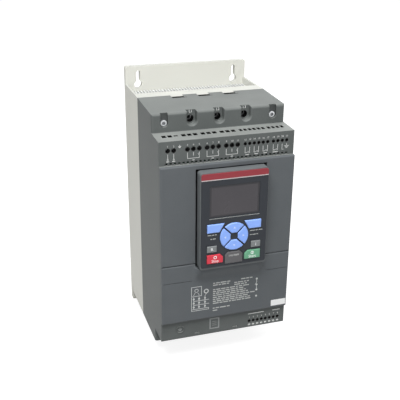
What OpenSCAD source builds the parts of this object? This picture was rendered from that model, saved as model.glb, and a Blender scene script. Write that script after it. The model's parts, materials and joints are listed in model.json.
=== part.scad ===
// Three-phase soft starter: white moulded base, dark front housing and a pull-off keypad.
// Millimetres. X is right, Y goes into the wall and Z is up.
// The origin is on the wall face of the mounting plate, at the plate's middle.
// A depth is counted from the wall towards the viewer, so a depth d lies at y = -d.

/* [Mounting plate] */
// Thickness of the mounting plate
plate_t = 7; // [5:0.5:9]
// Corner radius of the mounting plate
plate_r = 2; // [1:0.5:5]
// Reach of the plate below the housing
lower_lip = 14.2; // [12:0.1:18]
// Reach of the plate above the housing
upper_lip = 21.3; // [18:0.1:26]
// Sideways distance between mounting holes
hole_pitch = 119.4; // [100:0.2:124]
// Radius of the round part of a keyhole
keyhole_r = 4.8; // [4:0.1:6]
// Width of the slot of a keyhole
keyhole_slot_w = 4.6; // [3.5:0.1:5.5]
// Height from the middle of a keyhole's round part to the end of its slot
keyhole_rise = 16.5; // [13:0.1:17.5]
// Drop from the plate's top edge to the middle of a keyhole's round part
keyhole_drop = 22.1; // [20.5:0.1:24]
// Radius of the lower mounting holes
lower_hole_r = 2.3; // [2:0.1:3]
// Thickness of the plate's front skin over the pockets in its back
plate_skin = 3; // [2:0.1:4]
// Width of the ribs between the pockets
plate_rib = 4; // [2:0.1:8]

/* [Body] */
// Width of the plate, base and housing
body_w = 150; // [136:1:170]
// Height of the base and housing
housing_h = 278.5; // [262:0.5:300]
// Depth of the white base
base_d = 69; // [62:0.5:80]
// Depth of the power section in front of the base
power_t = 63.3; // [58:0.1:70]
// Depth of the control section in front of the power section
control_t = 30.1; // [27:0.1:34]
// Thickness of the front covers
cover_t = 3.8; // [3:0.1:5]
// Wall thickness of the base
base_wall = 2.5; // [2:0.1:3.5]
// Wall thickness of the housing
housing_wall = 2.5; // [2:0.1:3]
// Radius of the housing's outer edges
edge_r = 2.5; // [1:0.1:4]
// Fall of the housing's top face from back to front
top_fall = 1.8; // [0:0.1:3]
// Gap between pieces that fit into each other
fit_gap = 0.3; // [0.2:0.05:0.5]

/* [Air duct] */
// Depth of the lips that close the duct's front at its ends
lip_d = 18; // [14:0.5:20]
// Height of the upper lip
lip_h = 8; // [6:0.5:12]
// Height of the fan room below the heatsink
fan_room = 26; // [25:0.5:32]
// Thickness of the heatsink's base plate
sink_base_t = 10; // [6:0.5:14]
// Number of fins
fin_count = 40; // [20:1:44]
// Thickness of a fin
fin_t = 1.2; // [0.8:0.1:1.6]

/* [Fans] */
// Clearance in front of and behind a fan in the duct
fan_clear = 2; // [1:0.5:5]
// Height of a fan
fan_t = 20; // [17:0.5:22]
// Thickness of the fan tray
tray_t = 2.5; // [2:0.1:3]
// Radius of the rotor's hub
hub_r = 9; // [7:0.5:11]
// Number of blades on a rotor
blade_count = 7; // [5:1:9]
// Gap between the blade tips and the frame
tip_gap = 0.8; // [0.5:0.1:2]
// Radius of the rotor's shaft
shaft_r = 1.5; // [1:0.1:2]
// Running gap of the shaft in its bearing
bearing_gap = 0.05; // [0.02:0.01:0.1]

/* [Power path] */
// Distance between phases
phase_pitch = 30.5; // [29:0.1:33]
// Width of the thyristor modules and bypass relays
module_w = 26; // [24:0.5:28]
// Height of a thyristor module
module_h = 94; // [84:1:104]
// Depth of a thyristor module
module_d = 30; // [26:0.5:32]
// Height of a bypass relay
relay_h = 62; // [54:1:70]
// Height of a current transformer
ct_h = 16; // [12:0.5:20]
// Height of the current transformers' foot above the housing's bottom
ct_rise = 36; // [32:0.5:40]
// Drop from the housing's top to the thyristor modules
module_drop = 34; // [32:0.5:38]
// Space between a module and the relay below it
relay_space = 8; // [4:0.5:10]
// Width of a busbar
bar_w = 10; // [8:0.5:11]
// Thickness of a busbar
bar_t = 2; // [1.5:0.1:3]
// Outer width of a terminal clamp
clamp_w = 17; // [15:0.5:20]
// Outer height of a terminal clamp
clamp_h = 12; // [10:0.5:13]
// Radius of a clamp's screw
clamp_screw_r = 3; // [2.5:0.1:3.5]
// Radius of the screws in the modules and busbars
power_screw_r = 2.5; // [2:0.1:3]

/* [Driver and screw recesses] */
// Width of a driver recess
recess_w = 10.7; // [9:0.1:12]
// Depth of a driver recess
recess_d = 8.3; // [6:0.1:10]
// Distance of a recess's middle from the housing's end
recess_drop = 11.4; // [10:0.1:11.6]
// Wall round a driver recess
recess_wall = 2; // [1.5:0.1:2.5]
// Chamfer round the mouth of a driver recess
recess_edge = 1.2; // [0.4:0.1:1.5]
// Radius of the driver hole in a recess
driver_r = 4; // [3.4:0.1:4.5]
// Length of the guide tube behind a driver hole
guide_l = 8; // [4:0.5:10]
// Wall of a guide tube
guide_wall = 1.5; // [1:0.1:2]
// Sideways distance of the housing screws from the middle
screw_x = 61; // [58:0.5:63]
// Width of the channel over a housing screw
channel_w = 8; // [7:0.1:10]
// Depth of that channel
channel_d = 4; // [3:0.1:6]
// Distance of a housing screw from the housing's end
screw_drop = 12.6; // [11:0.1:13]
// Radius of a housing screw's thread
screw_r = 2; // [1.5:0.1:2.5]
// Radius of a housing screw's head
head_r = 3.4; // [3:0.1:4]
// Width of the white tabs
tab_w = 13.5; // [11:0.1:15]
// Reach of the white tabs over the housing
tab_d = 5.5; // [4:0.1:8]

/* [Control section] */
// Drop from the housing's top to the terminal ledge
ledge_drop = 21.9; // [20:0.1:24]
// Fall of the ledge from back to front
ledge_fall = 0.8; // [0:0.1:2]
// Height of the control section's foot above the housing's bottom
control_foot = 17.4; // [17.2:0.1:20]
// Step from the terminal face out to the front plane
face_step = 1.7; // [1:0.1:2.5]
// Height of the terminal face
terminal_h = 27.2; // [25:0.1:30]
// Height of the lower terminal face
lower_face_h = 24.7; // [22:0.1:28]
// Height of the split between the covers above the foot of the keypad bay
split_rise = 4.7; // [3:0.1:8]
// Drop from the split to the lower cover's groove
groove_drop = 20.5; // [14:0.1:24]
// Radius of the covers' outer edges
cover_r = 1.5; // [0.5:0.1:2]

/* [Control terminals] */
// Distance of the first terminal from the left side
row_side = 9.8; // [8:0.1:11]
// Least distance of the last terminal from the right side
row_end = 8.2; // [7:0.1:10]
// Pitch of the relay terminals
relay_pitch = 6.35; // [5.6:0.05:6.5]
// Pitch of the signal terminals
signal_pitch = 5.08; // [4.4:0.02:5.2]
// Gap between terminal blocks, last hole to first
group_gap = 8.4; // [7.2:0.1:8.8]
// Gap between the two signal blocks, last hole to first
signal_gap = 6.6; // [5.6:0.1:7.2]
// Radius of the relay terminals' driver holes
relay_hole_r = 2.65; // [2.2:0.05:2.8]
// Radius of the signal terminals' driver holes
signal_hole_r = 1.95; // [1.6:0.05:2.1]
// Wall of the terminals' collars, which end flush with the face
collar_t = 0.5; // [0.4:0.05:0.7]
// Drop from the ledge to the holes
hole_drop = 11; // [9:0.1:13]
// Distance of the wire slots' middle in front of the power section
slot_step = 13.3; // [12:0.1:16]
// Front to back length of a wire slot
slot_l = 6.4; // [4:0.1:8.5]
// Distance of the last lower hole from the side
lower_side = 8.6; // [7:0.1:12]
// Height of the lower holes above the control section's foot
lower_rise = 9.4; // [8.6:0.1:11]
// Number of lower terminals
lower_count = 8; // [4:1:8]
// Sideways place of the round boss on the lower face, left of the middle
boss_x = 53.2; // [45:0.1:60]
// Height of the boss above the control section's foot
boss_rise = 13.3; // [9:0.1:16]
// Radius of the boss
boss_r = 4.7; // [3:0.1:6]
// Least distance of the vents below the terminals from the sides
vent_edge = 7.5; // [6:0.1:20]
// Pitch of the vents
vent_pitch = 4.6; // [4:0.1:6]
// Side of a square vent
vent_side = 2.4; // [1.6:0.1:2.8]

/* [Keypad] */
// Width of the keypad
keypad_w = 76; // [74:0.5:84]
// Height of the keypad
keypad_h = 112; // [101:0.5:120]
// Depth of the keypad, front to back
keypad_d = 28; // [26:0.5:29]
// How far the keypad stands out of the covers
keypad_proud = 11.8; // [9:0.1:13]
// Sideways place of the keypad's middle
keypad_x = 3; // [-4:0.5:4]
// Drop from the upper cover's top edge to the keypad
keypad_drop = 6.1; // [5.8:0.1:6.6]
// Corner radius of the keypad
keypad_r = 3; // [2:0.5:6]
// Wall thickness of the keypad's shells
keypad_wall = 2; // [1.5:0.1:2.5]
// Thickness of the overlay
overlay_t = 1.2; // [0.8:0.1:1.6]
// Rim of the bezel round the overlay
overlay_rim = 0.9; // [0.5:0.1:1.5]
// Height of the chin below the overlay
chin_h = 2.7; // [2:0.1:3.4]
// Room between the bezel and the keypad board
key_room = 3.6; // [3.4:0.1:4]
// Side gap round the keypad in its bay
bay_gap = 1.8; // [0.8:0.1:2.2]
// Gap above the keypad in its bay
bay_top_gap = 1.2; // [1:0.1:2.4]
// Wall of the bay
bay_wall = 1.6; // [1.2:0.1:1.8]
// Height of the chin ramp below the keypad
ramp_h = 20; // [14:0.5:26]
// Run of the chin ramp's flanks on either side of the keypad's edge
ramp_side = 5; // [3:0.1:6]
// How far the chin ramp stays behind the keypad's face
ramp_set = 4.4; // [3.4:0.1:6]
// Distance of the display window from the keypad's sides
window_side = 10; // [8:0.1:12]
// Drop from the keypad's top to the display window
window_drop = 14.8; // [12:0.1:20]
// Gap between the display window and the soft keys
window_gap = 7.7; // [5:0.1:12]

/* [Keys] */
// Travel of a key
key_travel = 0.8; // [0.4:0.05:1]
// Gap round a key in its opening
key_gap = 0.3; // [0.2:0.05:0.35]
// How far a key stands out of the overlay
key_proud = 1.2; // [1.1:0.1:2]
// Lip that holds a key behind the bezel
key_lip = 0.5; // [0.4:0.05:0.6]
// Slope round the top of a key
key_crown = 0.5; // [0.2:0.05:0.8]
// Distance of the key columns from the keypad's sides
column_edge = 7.5; // [6:0.1:8.5]
// Height of the middle key's foot above the keypad's foot
key_foot = 5.2; // [4.6:0.1:7]
// Height of the stop and start keys' foot above the middle key's foot
run_lift = 2.4; // [1:0.1:4]
// Height of the soft keys' foot above the navigation ring's middle
soft_lift = 7; // [5:0.1:9]
// Height of the soft keys
soft_h = 9.7; // [8:0.1:11]
// Slant of the soft keys' inner edge
soft_slant = 5.5; // [4.5:0.1:6]
// Radius of the navigation ring
nav_r = 16; // [14.5:0.1:16.4]
// Half side of the square inside the ring
nav_core = 4.2; // [3.5:0.1:5]
// Gap between the navigation keys
nav_split = 1.7; // [1.5:0.1:2.2]
// Width of the grey keys
side_key_w = 10.8; // [9:0.1:12]
// Height of the grey keys
side_key_h = 7.3; // [6.5:0.1:8.2]
// Width of the stop and start keys
run_w = 18.2; // [16:0.1:19]
// Height of the stop and start keys
run_h = 10.3; // [9:0.1:11]
// Height of the middle key
middle_h = 13.8; // [12:0.1:14.4]
// Cut corner of the lower keys
corner_cut = 3.5; // [2:0.1:4]
// Space between a key and its neighbours
key_space = 2.2; // [2:0.1:2.6]
// Space between the grey keys and the keys below them
row_space = 3.2; // [2:0.1:4]

/* [Hidden] */
$fn = 48;
over = 1;
arc_steps = 6;
PHASES = [-1, 0, 1];
ENDS = [-1, 1];

white_tone = [0.85, 0.85, 0.82];
graphite_tone = [0.38, 0.39, 0.39];
cover_tone = [0.38, 0.4, 0.41];
black_tone = [0.12, 0.12, 0.13];
overlay_tone = [0.24, 0.25, 0.27];
metal_tone = [0.78, 0.79, 0.8];
copper_tone = [0.8, 0.5, 0.3];
board_tone = [0.1, 0.36, 0.22];
terminal_tone = [0.2, 0.22, 0.2];
blue_tone = [0.59, 0.71, 0.96];
grey_tone = [0.67, 0.67, 0.67];
stop_tone = [0.82, 0.2, 0.25];
start_tone = [0.35, 0.65, 0.43];
middle_tone = [0.39, 0.38, 0.39];
window_tone = [0.3, 0.29, 0.31];

// Heights
plate_h = housing_h + lower_lip + upper_lip;
plate_top = plate_h / 2;
z_bottom = -plate_top + lower_lip;
z_top = z_bottom + housing_h;
z_ledge = z_top - ledge_drop;
z_foot = z_bottom + control_foot;
z_cover_top = z_ledge - terminal_h;
z_cover_foot = z_foot + lower_face_h;

// Depths
duct_front = base_d - lip_d;
power_d = base_d + power_t;
control_d = power_d + control_t;
terminal_d = control_d - face_step;
cover_d = control_d + cover_t;
face_d = cover_d + keypad_proud;
keypad_back = face_d - keypad_d;

// Heatsink and fans
sink_w = body_w - 2 * base_wall - 2 * fit_gap;
sink_foot = z_bottom + fan_room;
sink_top = z_top - lip_h - fit_gap;
fin_pitch = (sink_w - fin_t) / (fin_count - 1);
tap_l = sink_base_t - 1;
fan_middle = (plate_t + duct_front) / 2;
fan_size = duct_front - plate_t - 2 * fan_clear;
fan_pitch = body_w / 2 - base_wall;
fan_wall = 1;
fan_bore = fan_size / 2 - fan_wall;
fan_foot = z_bottom + tray_t;
motor_t = 3;
rotor_gap = 0.6;
cup_t = 1.5;

// Power path
bar_d = base_d + module_d;
bar_off = bar_w / 2 + 1.5;
bar_front = bar_d + bar_t;
module_top = z_top - module_drop;
module_foot = module_top - module_h;
module_middle = (module_top + module_foot) / 2;
module_foot_t = 3;
ear_h = 10;
module_ears = [module_foot + ear_h / 2, module_top - ear_h / 2];
relay_top = module_foot - relay_space;
relay_foot = relay_top - relay_h;
relay_pad_h = 12;
ct_foot = z_bottom + ct_rise;
ct_top = ct_foot + ct_h;
pad_pitch = 26;
clamp_back_t = 3;
clamp_front_t = 5;
recess_floor = power_d - recess_d;
clamp_front = recess_floor - recess_wall - guide_l;
clamp_back = bar_d - clamp_back_t;
screw_head_t = 2.5;
bolt_l = 8;
thread_gap = 0.1;

// Control section
board_t = 1.6;
post_h = 7.7;
board_back = power_d + post_h;
board_front = board_back + board_t;
board_side = 1.5;
board_w = body_w - 2 * housing_wall - 2 * board_side;
board_foot = z_foot + housing_wall + 1.2;
board_top = z_ledge - housing_wall - 2.5;
post_edge = 6;
post_x = board_w / 2 - post_edge;
post_r = 3.5;
power_post_h = 6.2;
power_board_front = power_d - housing_wall - power_post_h;
power_board_foot = ct_top + 8;
power_board_top = module_top - 6;
choke_w = 18;
choke_h = 16;
choke_d = 9;
driver_w = 12;
driver_h = 12;
driver_d = 7;
cap_r = 8;
cap_l = 14;
chip_w = 14;
board_screw_r = 1.4;
hole_z = z_ledge - hole_drop;
slot_depth = power_d + slot_step;
lower_hole_z = z_foot + lower_rise;

// Terminal rows
relay_groups = 4;
relay_in_group = 3;
first_signals = 6;
group_step = (relay_in_group - 1) * relay_pitch + group_gap;
relay_len = (relay_groups - 1) * group_step + (relay_in_group - 1) * relay_pitch;
relay_x0 = -body_w / 2 + row_side;
signal_x0 = relay_x0 + relay_len + group_gap;
signal_starts = [signal_x0, signal_x0 + (first_signals - 1) * signal_pitch + signal_gap];
// The last block holds as many terminals as the row has room for
signal_counts = [first_signals, 1 + max(0, floor((body_w / 2 - row_end - signal_starts[1]) / signal_pitch))];
relay_starts = [for (g = [0 : relay_groups - 1]) relay_x0 + g * group_step];
// The third place of the first relay block is the earth place and has no hole
relay_x = [for (g = [0 : relay_groups - 1]) for (i = [0 : relay_in_group - 1])
    if (g > 0 || i < relay_in_group - 1) relay_starts[g] + i * relay_pitch];
earth_x = relay_starts[0] + (relay_in_group - 1) * relay_pitch;
signal_x = [for (g = [0, 1]) for (i = [0 : signal_counts[g] - 1]) signal_starts[g] + i * signal_pitch];
lower_x = [for (i = [0 : lower_count - 1]) body_w / 2 - lower_side - i * signal_pitch];
block_front = terminal_d - housing_wall - fit_gap;
lower_block_front = control_d - housing_wall - fit_gap;
block_top = board_top;
well_l = 8;
block_foot = hole_z - 8;
wire_room = 3.5;
lower_block_foot = board_foot;
lower_block_top = lower_hole_z + 7;
boss_t = 0.6;
boss_rim = 0.8;

// Keypad
keypad_top = z_cover_top - keypad_drop;
keypad_z = keypad_top - keypad_h / 2;
z_split = keypad_z - keypad_h / 2 - bay_gap + split_rise;
overlay_back = face_d - overlay_t;
bezel_t = 2;
bezel_back = overlay_back - bezel_t;
key_board_front = bezel_back - key_room;
key_board_back = key_board_front - board_t;
bay_floor = keypad_back - 0.5;
bay_floor_t = 2;
bay_w = keypad_w + 2 * bay_gap;
bay_top = keypad_h / 2 + bay_top_gap;
bay_foot = -keypad_h / 2 - bay_gap;
plug_w = 10;
plug_h = 8;
socket_wall = 2;
socket_floor = 2;
socket_front = bay_floor - fit_gap;
plug_tip = board_front + socket_floor + fit_gap;
ramp_lift = keypad_proud - ramp_set;
key_stop = 0.2;
lip_t = 0.8;
plunger_r = 1.5;
dome_t = 0.2;
plunger_l = key_room - key_stop - lip_t - dome_t - key_travel - 0.2;
plate_label_w = 18;
plate_label_h = 7.5;
plate_label_t = 0.3;

// Key outlines about the keypad's middle, as [x, z] points in turn
column_x = keypad_w / 2 - column_edge;
middle_foot = -keypad_h / 2 + key_foot;
middle_top = middle_foot + middle_h;
nav_z = middle_top + key_space + nav_r;
soft_foot = nav_z + soft_lift;
soft_top = soft_foot + soft_h;
run_foot = middle_foot + run_lift;
run_top = run_foot + run_h;
side_foot = run_top + row_space;
side_top = side_foot + side_key_h;
window_w = keypad_w - 2 * window_side;
window_foot = soft_top + window_gap;
window_h = keypad_h / 2 - window_drop - window_foot;
window_z = window_foot + window_h / 2;
soft_inner = sqrt(pow(nav_r + key_space, 2) - pow(soft_foot - nav_z, 2));
soft_left = [[-column_x, soft_foot], [-soft_inner, soft_foot],
    [-soft_inner + soft_slant, soft_top], [-column_x, soft_top]];
side_left = [[-column_x, side_foot], [-column_x + side_key_w, side_foot],
    [-column_x + side_key_w, side_top], [-column_x, side_top]];
run_inner = column_x - run_w;
stop_points = [[-column_x, run_foot], [-run_inner, run_foot],
    [-run_inner, run_top - corner_cut], [-run_inner - corner_cut, run_top], [-column_x, run_top]];
middle_half = run_inner - key_space;
middle_points = [[-middle_half, middle_foot], [middle_half, middle_foot],
    [middle_half, middle_top - corner_cut], [middle_half - corner_cut, middle_top],
    [-middle_half + corner_cut, middle_top], [-middle_half, middle_top - corner_cut]];
nav_side = nav_split / sqrt(2);
nav_wedge = [[-nav_core + nav_side, nav_core], [nav_core - nav_side, nav_core],
    [2 * nav_r - nav_side, 2 * nav_r], [-2 * nav_r + nav_side, 2 * nav_r]];
NAV_KEYS = ["nav_up_key", "nav_left_key", "nav_down_key", "nav_right_key"];
FLAT_KEYS = ["soft_left_key", "soft_right_key", "remote_key", "info_key",
    "stop_key", "middle_key", "start_key"];
KEYS = concat(FLAT_KEYS, NAV_KEYS);

function unit(v) = v / norm(v);
// A range of a given width about a middle, and one of a given height above a foot
function span(c, w) = [c - w / 2, c + w / 2];
function rise(z, h) = [z, z + h];
function mirrored(p) = [for (i = [len(p) - 1 : -1 : 0]) [-p[i][0], p[i][1]]];
// A convex outline, listed anticlockwise, moved out by g along every side
function grown(p, g) = let (n = len(p)) [for (i = [0 : n - 1])
    let (u = unit(p[i] - p[(i + n - 1) % n]), v = unit(p[(i + 1) % n] - p[i]))
    let (a = [u[1], -u[0]], b = [v[1], -v[0]]) p[i] + g * (a + b) / (1 + a * b)];
// Points of an arc about c, from one angle to another
function arc(c, r, from, to) = [for (i = [0 : arc_steps])
    let (t = from + (to - from) * i / arc_steps) c + r * [cos(t), sin(t)]];
function key_points(k) = k == "soft_left_key" ? soft_left : k == "soft_right_key" ? mirrored(soft_left)
    : k == "remote_key" ? side_left : k == "info_key" ? mirrored(side_left)
    : k == "stop_key" ? stop_points : k == "start_key" ? mirrored(stop_points) : middle_points;
function nav_turn(k) = search([k], NAV_KEYS)[0] * 90;
function is_nav(k) = len([for (n = NAV_KEYS) if (n == k) n]) > 0;
function middle_of(p) = [min([for (q = p) q[0]]) + max([for (q = p) q[0]]),
    min([for (q = p) q[1]]) + max([for (q = p) q[1]])] / 2;
function key_middle(k) = is_nav(k)
    ? [0, nav_z] + (nav_core + nav_r) / 2 * [-sin(nav_turn(k)), cos(nav_turn(k))]
    : middle_of(key_points(k));
function phase_x(i) = PHASES[i] * phase_pitch;
function end_z(s) = s > 0 ? z_top : z_bottom;
// Height range of a cut through the housing's top or bottom wall
function end_cut(s) = s > 0 ? [z_top - housing_wall - 2 * over, z_top + over]
    : [z_bottom - over, z_bottom + housing_wall + 2 * over];
// Height of a relay's pad: the line busbar's at the top left, the load busbar's at the bottom right
function relay_bolt(s) = s < 0 ? relay_top - relay_pad_h / 2 : relay_foot + relay_pad_h / 2;

// An outline in x and z, drawn out between two depths
module slab(from, to) translate([0, -from, 0]) rotate([90, 0, 0]) linear_extrude(to - from) children();

// A side profile in depth and z, drawn out over a width
module across(w) rotate([90, 0, -90]) linear_extrude(w, center = true) children();

// A box between two x values, two depths and two heights
module box(x, d, z) translate([x[0], -d[1], z[0]]) cube([x[1] - x[0], d[1] - d[0], z[1] - z[0]]);

// A round bar or hole along the depth
module rod(x, z, from, to, r) translate([x, -from, z]) rotate([90, 0, 0]) cylinder(r = r, h = to - from);

// A flat strip of a given width about x, between two heights in any order
module between(x, w, z0, z1) translate([x - w / 2, min(z0, z1)]) square([w, abs(z1 - z0)]);

// A rectangle with round corners
module rounded(w, h, r) {
    square([w - 2 * r, h], center = true);
    square([w, h - 2 * r], center = true);
    for (sx = ENDS, sz = ENDS) translate([sx * (w / 2 - r), sz * (h / 2 - r)]) circle(r);
}

// A tall block seen from above, flat at the back and with round front corners
module round_front(w, from, to, r) {
    polygon(concat([[w / 2, -from], [-w / 2, -from]], arc([-w / 2 + r, -to + r], r, 180, 270),
        arc([w / 2 - r, -to + r], r, 270, 360)));
}

module at_keypad() translate([keypad_x, 0, keypad_z]) children();

module keyhole() {
    circle(keyhole_r);
    translate([-keyhole_slot_w / 2, 0]) square([keyhole_slot_w, keyhole_rise - keyhole_slot_w / 2]);
    translate([0, keyhole_rise - keyhole_slot_w / 2]) circle(keyhole_slot_w / 2);
}

// Pockets in the plate's back, in a grid with a rib crossing at the middle
module plate_pockets() {
    columns = 4;
    rows = 6;
    edge = 8;
    end = keyhole_drop + keyhole_r + edge;
    w = (body_w - 2 * edge + plate_rib) / columns;
    h = (plate_h - 2 * end + plate_rib) / rows;
    for (i = [0 : columns - 1], j = [0 : rows - 1])
        translate([(i - columns / 2) * w + plate_rib / 2, (j - rows / 2) * h + plate_rib / 2])
            square([w - plate_rib, h - plate_rib]);
}

module base_chassis() {
    relief_w = 3;
    relief_h = 6;
    color(white_tone) difference() {
        union() {
            slab(0, plate_t) rounded(body_w, plate_h, plate_r);
            for (s = ENDS) {
                side = s * (body_w - base_wall) / 2;
                box(span(side, base_wall), [plate_t - over, base_d], [z_bottom, z_top]);
                for (p = [0 : 2]) box(span(phase_x(p), tab_w), [base_d - over, base_d + tab_d],
                    s > 0 ? [z_top - housing_wall, z_top] : [z_bottom, z_bottom + housing_wall]);
            }
            box([-body_w, body_w] / 2, [duct_front, base_d], [z_top - lip_h, z_top]);
            box([-body_w, body_w] / 2, [duct_front, base_d], [z_bottom, sink_foot - fit_gap]);
        }
        for (s = ENDS) {
            translate([s * hole_pitch / 2, 0, plate_top - keyhole_drop])
                slab(-over, plate_t + over) keyhole();
            rod(s * hole_pitch / 2, -plate_top + lower_lip / 2, -over, plate_t + over, lower_hole_r);
            rod(s * screw_x, z_bottom + screw_drop, base_d - tap_l, base_d + over, screw_r);
            box(span(s * body_w / 2, 2 * base_wall + 2 * over), [plate_t, plate_t + relief_w],
                [z_bottom - over, z_bottom + relief_h]);
        }
        slab(-over, plate_t - plate_skin) plate_pockets();
    }
}

module heatsink() {
    root = base_d - sink_base_t;
    color(metal_tone) difference() {
        translate([0, 0, sink_foot]) linear_extrude(sink_top - sink_foot) {
            translate([-sink_w / 2, -base_d]) square([sink_w, sink_base_t]);
            for (i = [0 : fin_count - 1]) translate([-sink_w / 2 + i * fin_pitch, -root - over])
                square([fin_t, root + over - plate_t - fit_gap]);
        }
        for (s = ENDS) rod(s * screw_x, z_top - screw_drop, base_d - tap_l, base_d + over, screw_r);
        for (i = [0 : 2], e = module_ears) rod(phase_x(i), e, base_d - tap_l, base_d + over, power_screw_r);
    }
}

module at_fan(s) translate([s * fan_pitch / 2, -fan_middle, fan_foot]) children();

module fan_tray() {
    ring_w = 1.4;
    color(graphite_tone) translate([0, 0, z_bottom]) linear_extrude(tray_t) {
        difference() {
            translate([-sink_w / 2, -duct_front + fit_gap])
                square([sink_w, duct_front - plate_t - 2 * fit_gap]);
            for (s = ENDS) translate([s * fan_pitch / 2, -fan_middle]) circle(fan_bore);
        }
        for (s = ENDS) translate([s * fan_pitch / 2, -fan_middle]) {
            for (k = [1 : 3]) difference() {
                circle(k * fan_bore / 4 + ring_w / 2);
                circle(k * fan_bore / 4 - ring_w / 2);
            }
            for (a = [45, 135]) rotate(a) square([2 * fan_bore + ring_w, 2 * ring_w], center = true);
        }
    }
}

module fan_frame(s) {
    strut_w = 2.5;
    bearing_wall = 2;
    bearing_h = 9;
    corner_hole_r = 1.6;
    color(black_tone) at_fan(s) difference() {
        union() {
            difference() {
                linear_extrude(fan_t) rounded(fan_size, fan_size, 2.5);
                translate([0, 0, -over]) cylinder(r = fan_bore, h = fan_t + 2 * over);
            }
            cylinder(r = hub_r, h = motor_t);
            cylinder(r = shaft_r + bearing_gap + bearing_wall, h = motor_t + bearing_h);
            for (a = [0, 90]) rotate(a) translate([0, 0, motor_t / 2])
                cube([2 * fan_bore + fan_wall, strut_w, motor_t], center = true);
        }
        translate([0, 0, 1]) cylinder(r = shaft_r + bearing_gap, h = fan_t);
        for (x = ENDS, y = ENDS) translate([x, y, 0] * (fan_size / 2 - 3.2) - [0, 0, over])
            cylinder(r = corner_hole_r, h = fan_t + 2 * over);
    }
}

module fan_rotor(s) {
    tip_r = fan_bore - tip_gap;
    foot = motor_t + rotor_gap;
    cup_top = fan_t - 3;
    blade_t = 1.2;
    blade_turn = 40;
    color(graphite_tone) at_fan(s) {
        difference() {
            translate([0, 0, foot]) cylinder(r = hub_r, h = cup_top - foot);
            translate([0, 0, foot - over]) cylinder(r = hub_r - cup_t, h = cup_top - cup_t - foot + over);
        }
        translate([0, 0, 1 + rotor_gap]) cylinder(r = shaft_r, h = cup_top - 1 - rotor_gap - cup_t / 2);
        intersection() {
            translate([0, 0, foot + 0.4]) difference() {
                cylinder(r = tip_r, h = cup_top - foot - 0.8);
                translate([0, 0, -over]) cylinder(r = hub_r - cup_t / 2, h = fan_t);
            }
            for (k = [0 : blade_count - 1]) rotate(k * 360 / blade_count)
                translate([fan_bore / 2, 0, (foot + cup_top) / 2]) rotate([blade_turn, 0, 0])
                    cube([fan_bore, blade_t, 2 * fan_t], center = true);
        }
    }
}

// A power block with a screwed foot and one pad for each busbar
module thyristor_module(i) {
    shoulder = bar_d - 5;
    pad_h = 15;
    x = phase_x(i);
    color(black_tone) difference() {
        union() {
            box(span(x, module_w), [base_d, base_d + module_foot_t], [module_foot, module_top]);
            box(span(x, module_w), [base_d + module_foot_t - over, shoulder],
                [module_foot + ear_h, module_top - ear_h]);
            for (s = ENDS) box(span(x + s * bar_off, bar_w), [shoulder - over, bar_d],
                span(module_middle - s * pad_pitch, pad_h));
        }
        for (e = module_ears)
            rod(x, e, base_d - over, base_d + module_foot_t + over, power_screw_r + fit_gap);
        for (s = ENDS)
            rod(x + s * bar_off, module_middle - s * pad_pitch, bar_d - bolt_l, bar_d + over, power_screw_r);
    }
}

module bypass_relay(i) {
    shoulder = bar_d - 4;
    x = phase_x(i);
    color(terminal_tone) difference() {
        union() {
            box(span(x, module_w), [base_d, shoulder], [relay_foot, relay_top]);
            for (s = ENDS)
                box(span(x + s * bar_off, bar_w), [shoulder - over, bar_d], span(relay_bolt(s), relay_pad_h));
        }
        for (s = ENDS) rod(x + s * bar_off, relay_bolt(s), bar_d - bolt_l, bar_d + over, power_screw_r);
    }
}

// A block round the load busbar, standing on the heatsink
module current_transformer(i) {
    window = 1.5;
    reach = 10;
    x = phase_x(i);
    color(overlay_tone) difference() {
        box(span(x, module_w), [base_d, bar_front + reach], [ct_foot, ct_top]);
        box(span(x + bar_off, bar_w + 2 * window), [bar_d - window, bar_front + window],
            [ct_foot - over, ct_top + over]);
    }
}

// A busbar with a tongue for the clamp at one end: s is 1 for the line side, -1 for the load side
module busbar(i, s) {
    x = phase_x(i) - s * bar_off;
    tongue_w = clamp_w - 5;
    foot_h = 8;
    far = s > 0 ? relay_top - relay_pad_h : module_middle - pad_pitch + ear_h;
    near = end_z(s) - s * (recess_drop + clamp_h);
    tip = end_z(s) - s * (recess_drop - clamp_h / 2);
    color(copper_tone) difference() {
        slab(bar_d, bar_front) {
            between(x, bar_w, far, near);
            between(phase_x(i), tongue_w, near - s * foot_h, tip);
            between((x + phase_x(i)) / 2, bar_off + max(bar_w, tongue_w), near - s * foot_h, near);
        }
        for (b = [module_middle + s * pad_pitch, relay_bolt(-s)])
            rod(x, b, bar_d - over, bar_front + over, power_screw_r + fit_gap);
    }
}

// A box clamp round a busbar's tongue, with its screw hole in line with the driver hole
module terminal_clamp(i, s) {
    side_t = 2;
    x = phase_x(i);
    z = end_z(s) - s * recess_drop;
    color(metal_tone) difference() {
        box(span(x, clamp_w), [clamp_back, clamp_front], span(z, clamp_h));
        box(span(x, clamp_w - 2 * side_t), [bar_d, clamp_front - clamp_front_t], span(z, 2 * clamp_h));
        rod(x, z, clamp_front - clamp_front_t - over, clamp_front + over, clamp_screw_r + fit_gap / 2);
    }
}

module clamp_screws() {
    socket_r = 1.7;
    color(metal_tone) for (i = [0 : 2], s = ENDS) difference() {
        rod(phase_x(i), end_z(s) - s * recess_drop, bar_front + 6, clamp_front + 0.6, clamp_screw_r);
        rod(phase_x(i), end_z(s) - s * recess_drop, clamp_front - 3, clamp_front + over, socket_r, $fn = 6);
    }
}

module power_screw(x, z, seat, tip) {
    rod(x, z, seat, seat + screw_head_t, power_screw_r * 1.7);
    rod(x, z, tip, seat + over, power_screw_r - thread_gap);
}

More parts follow.
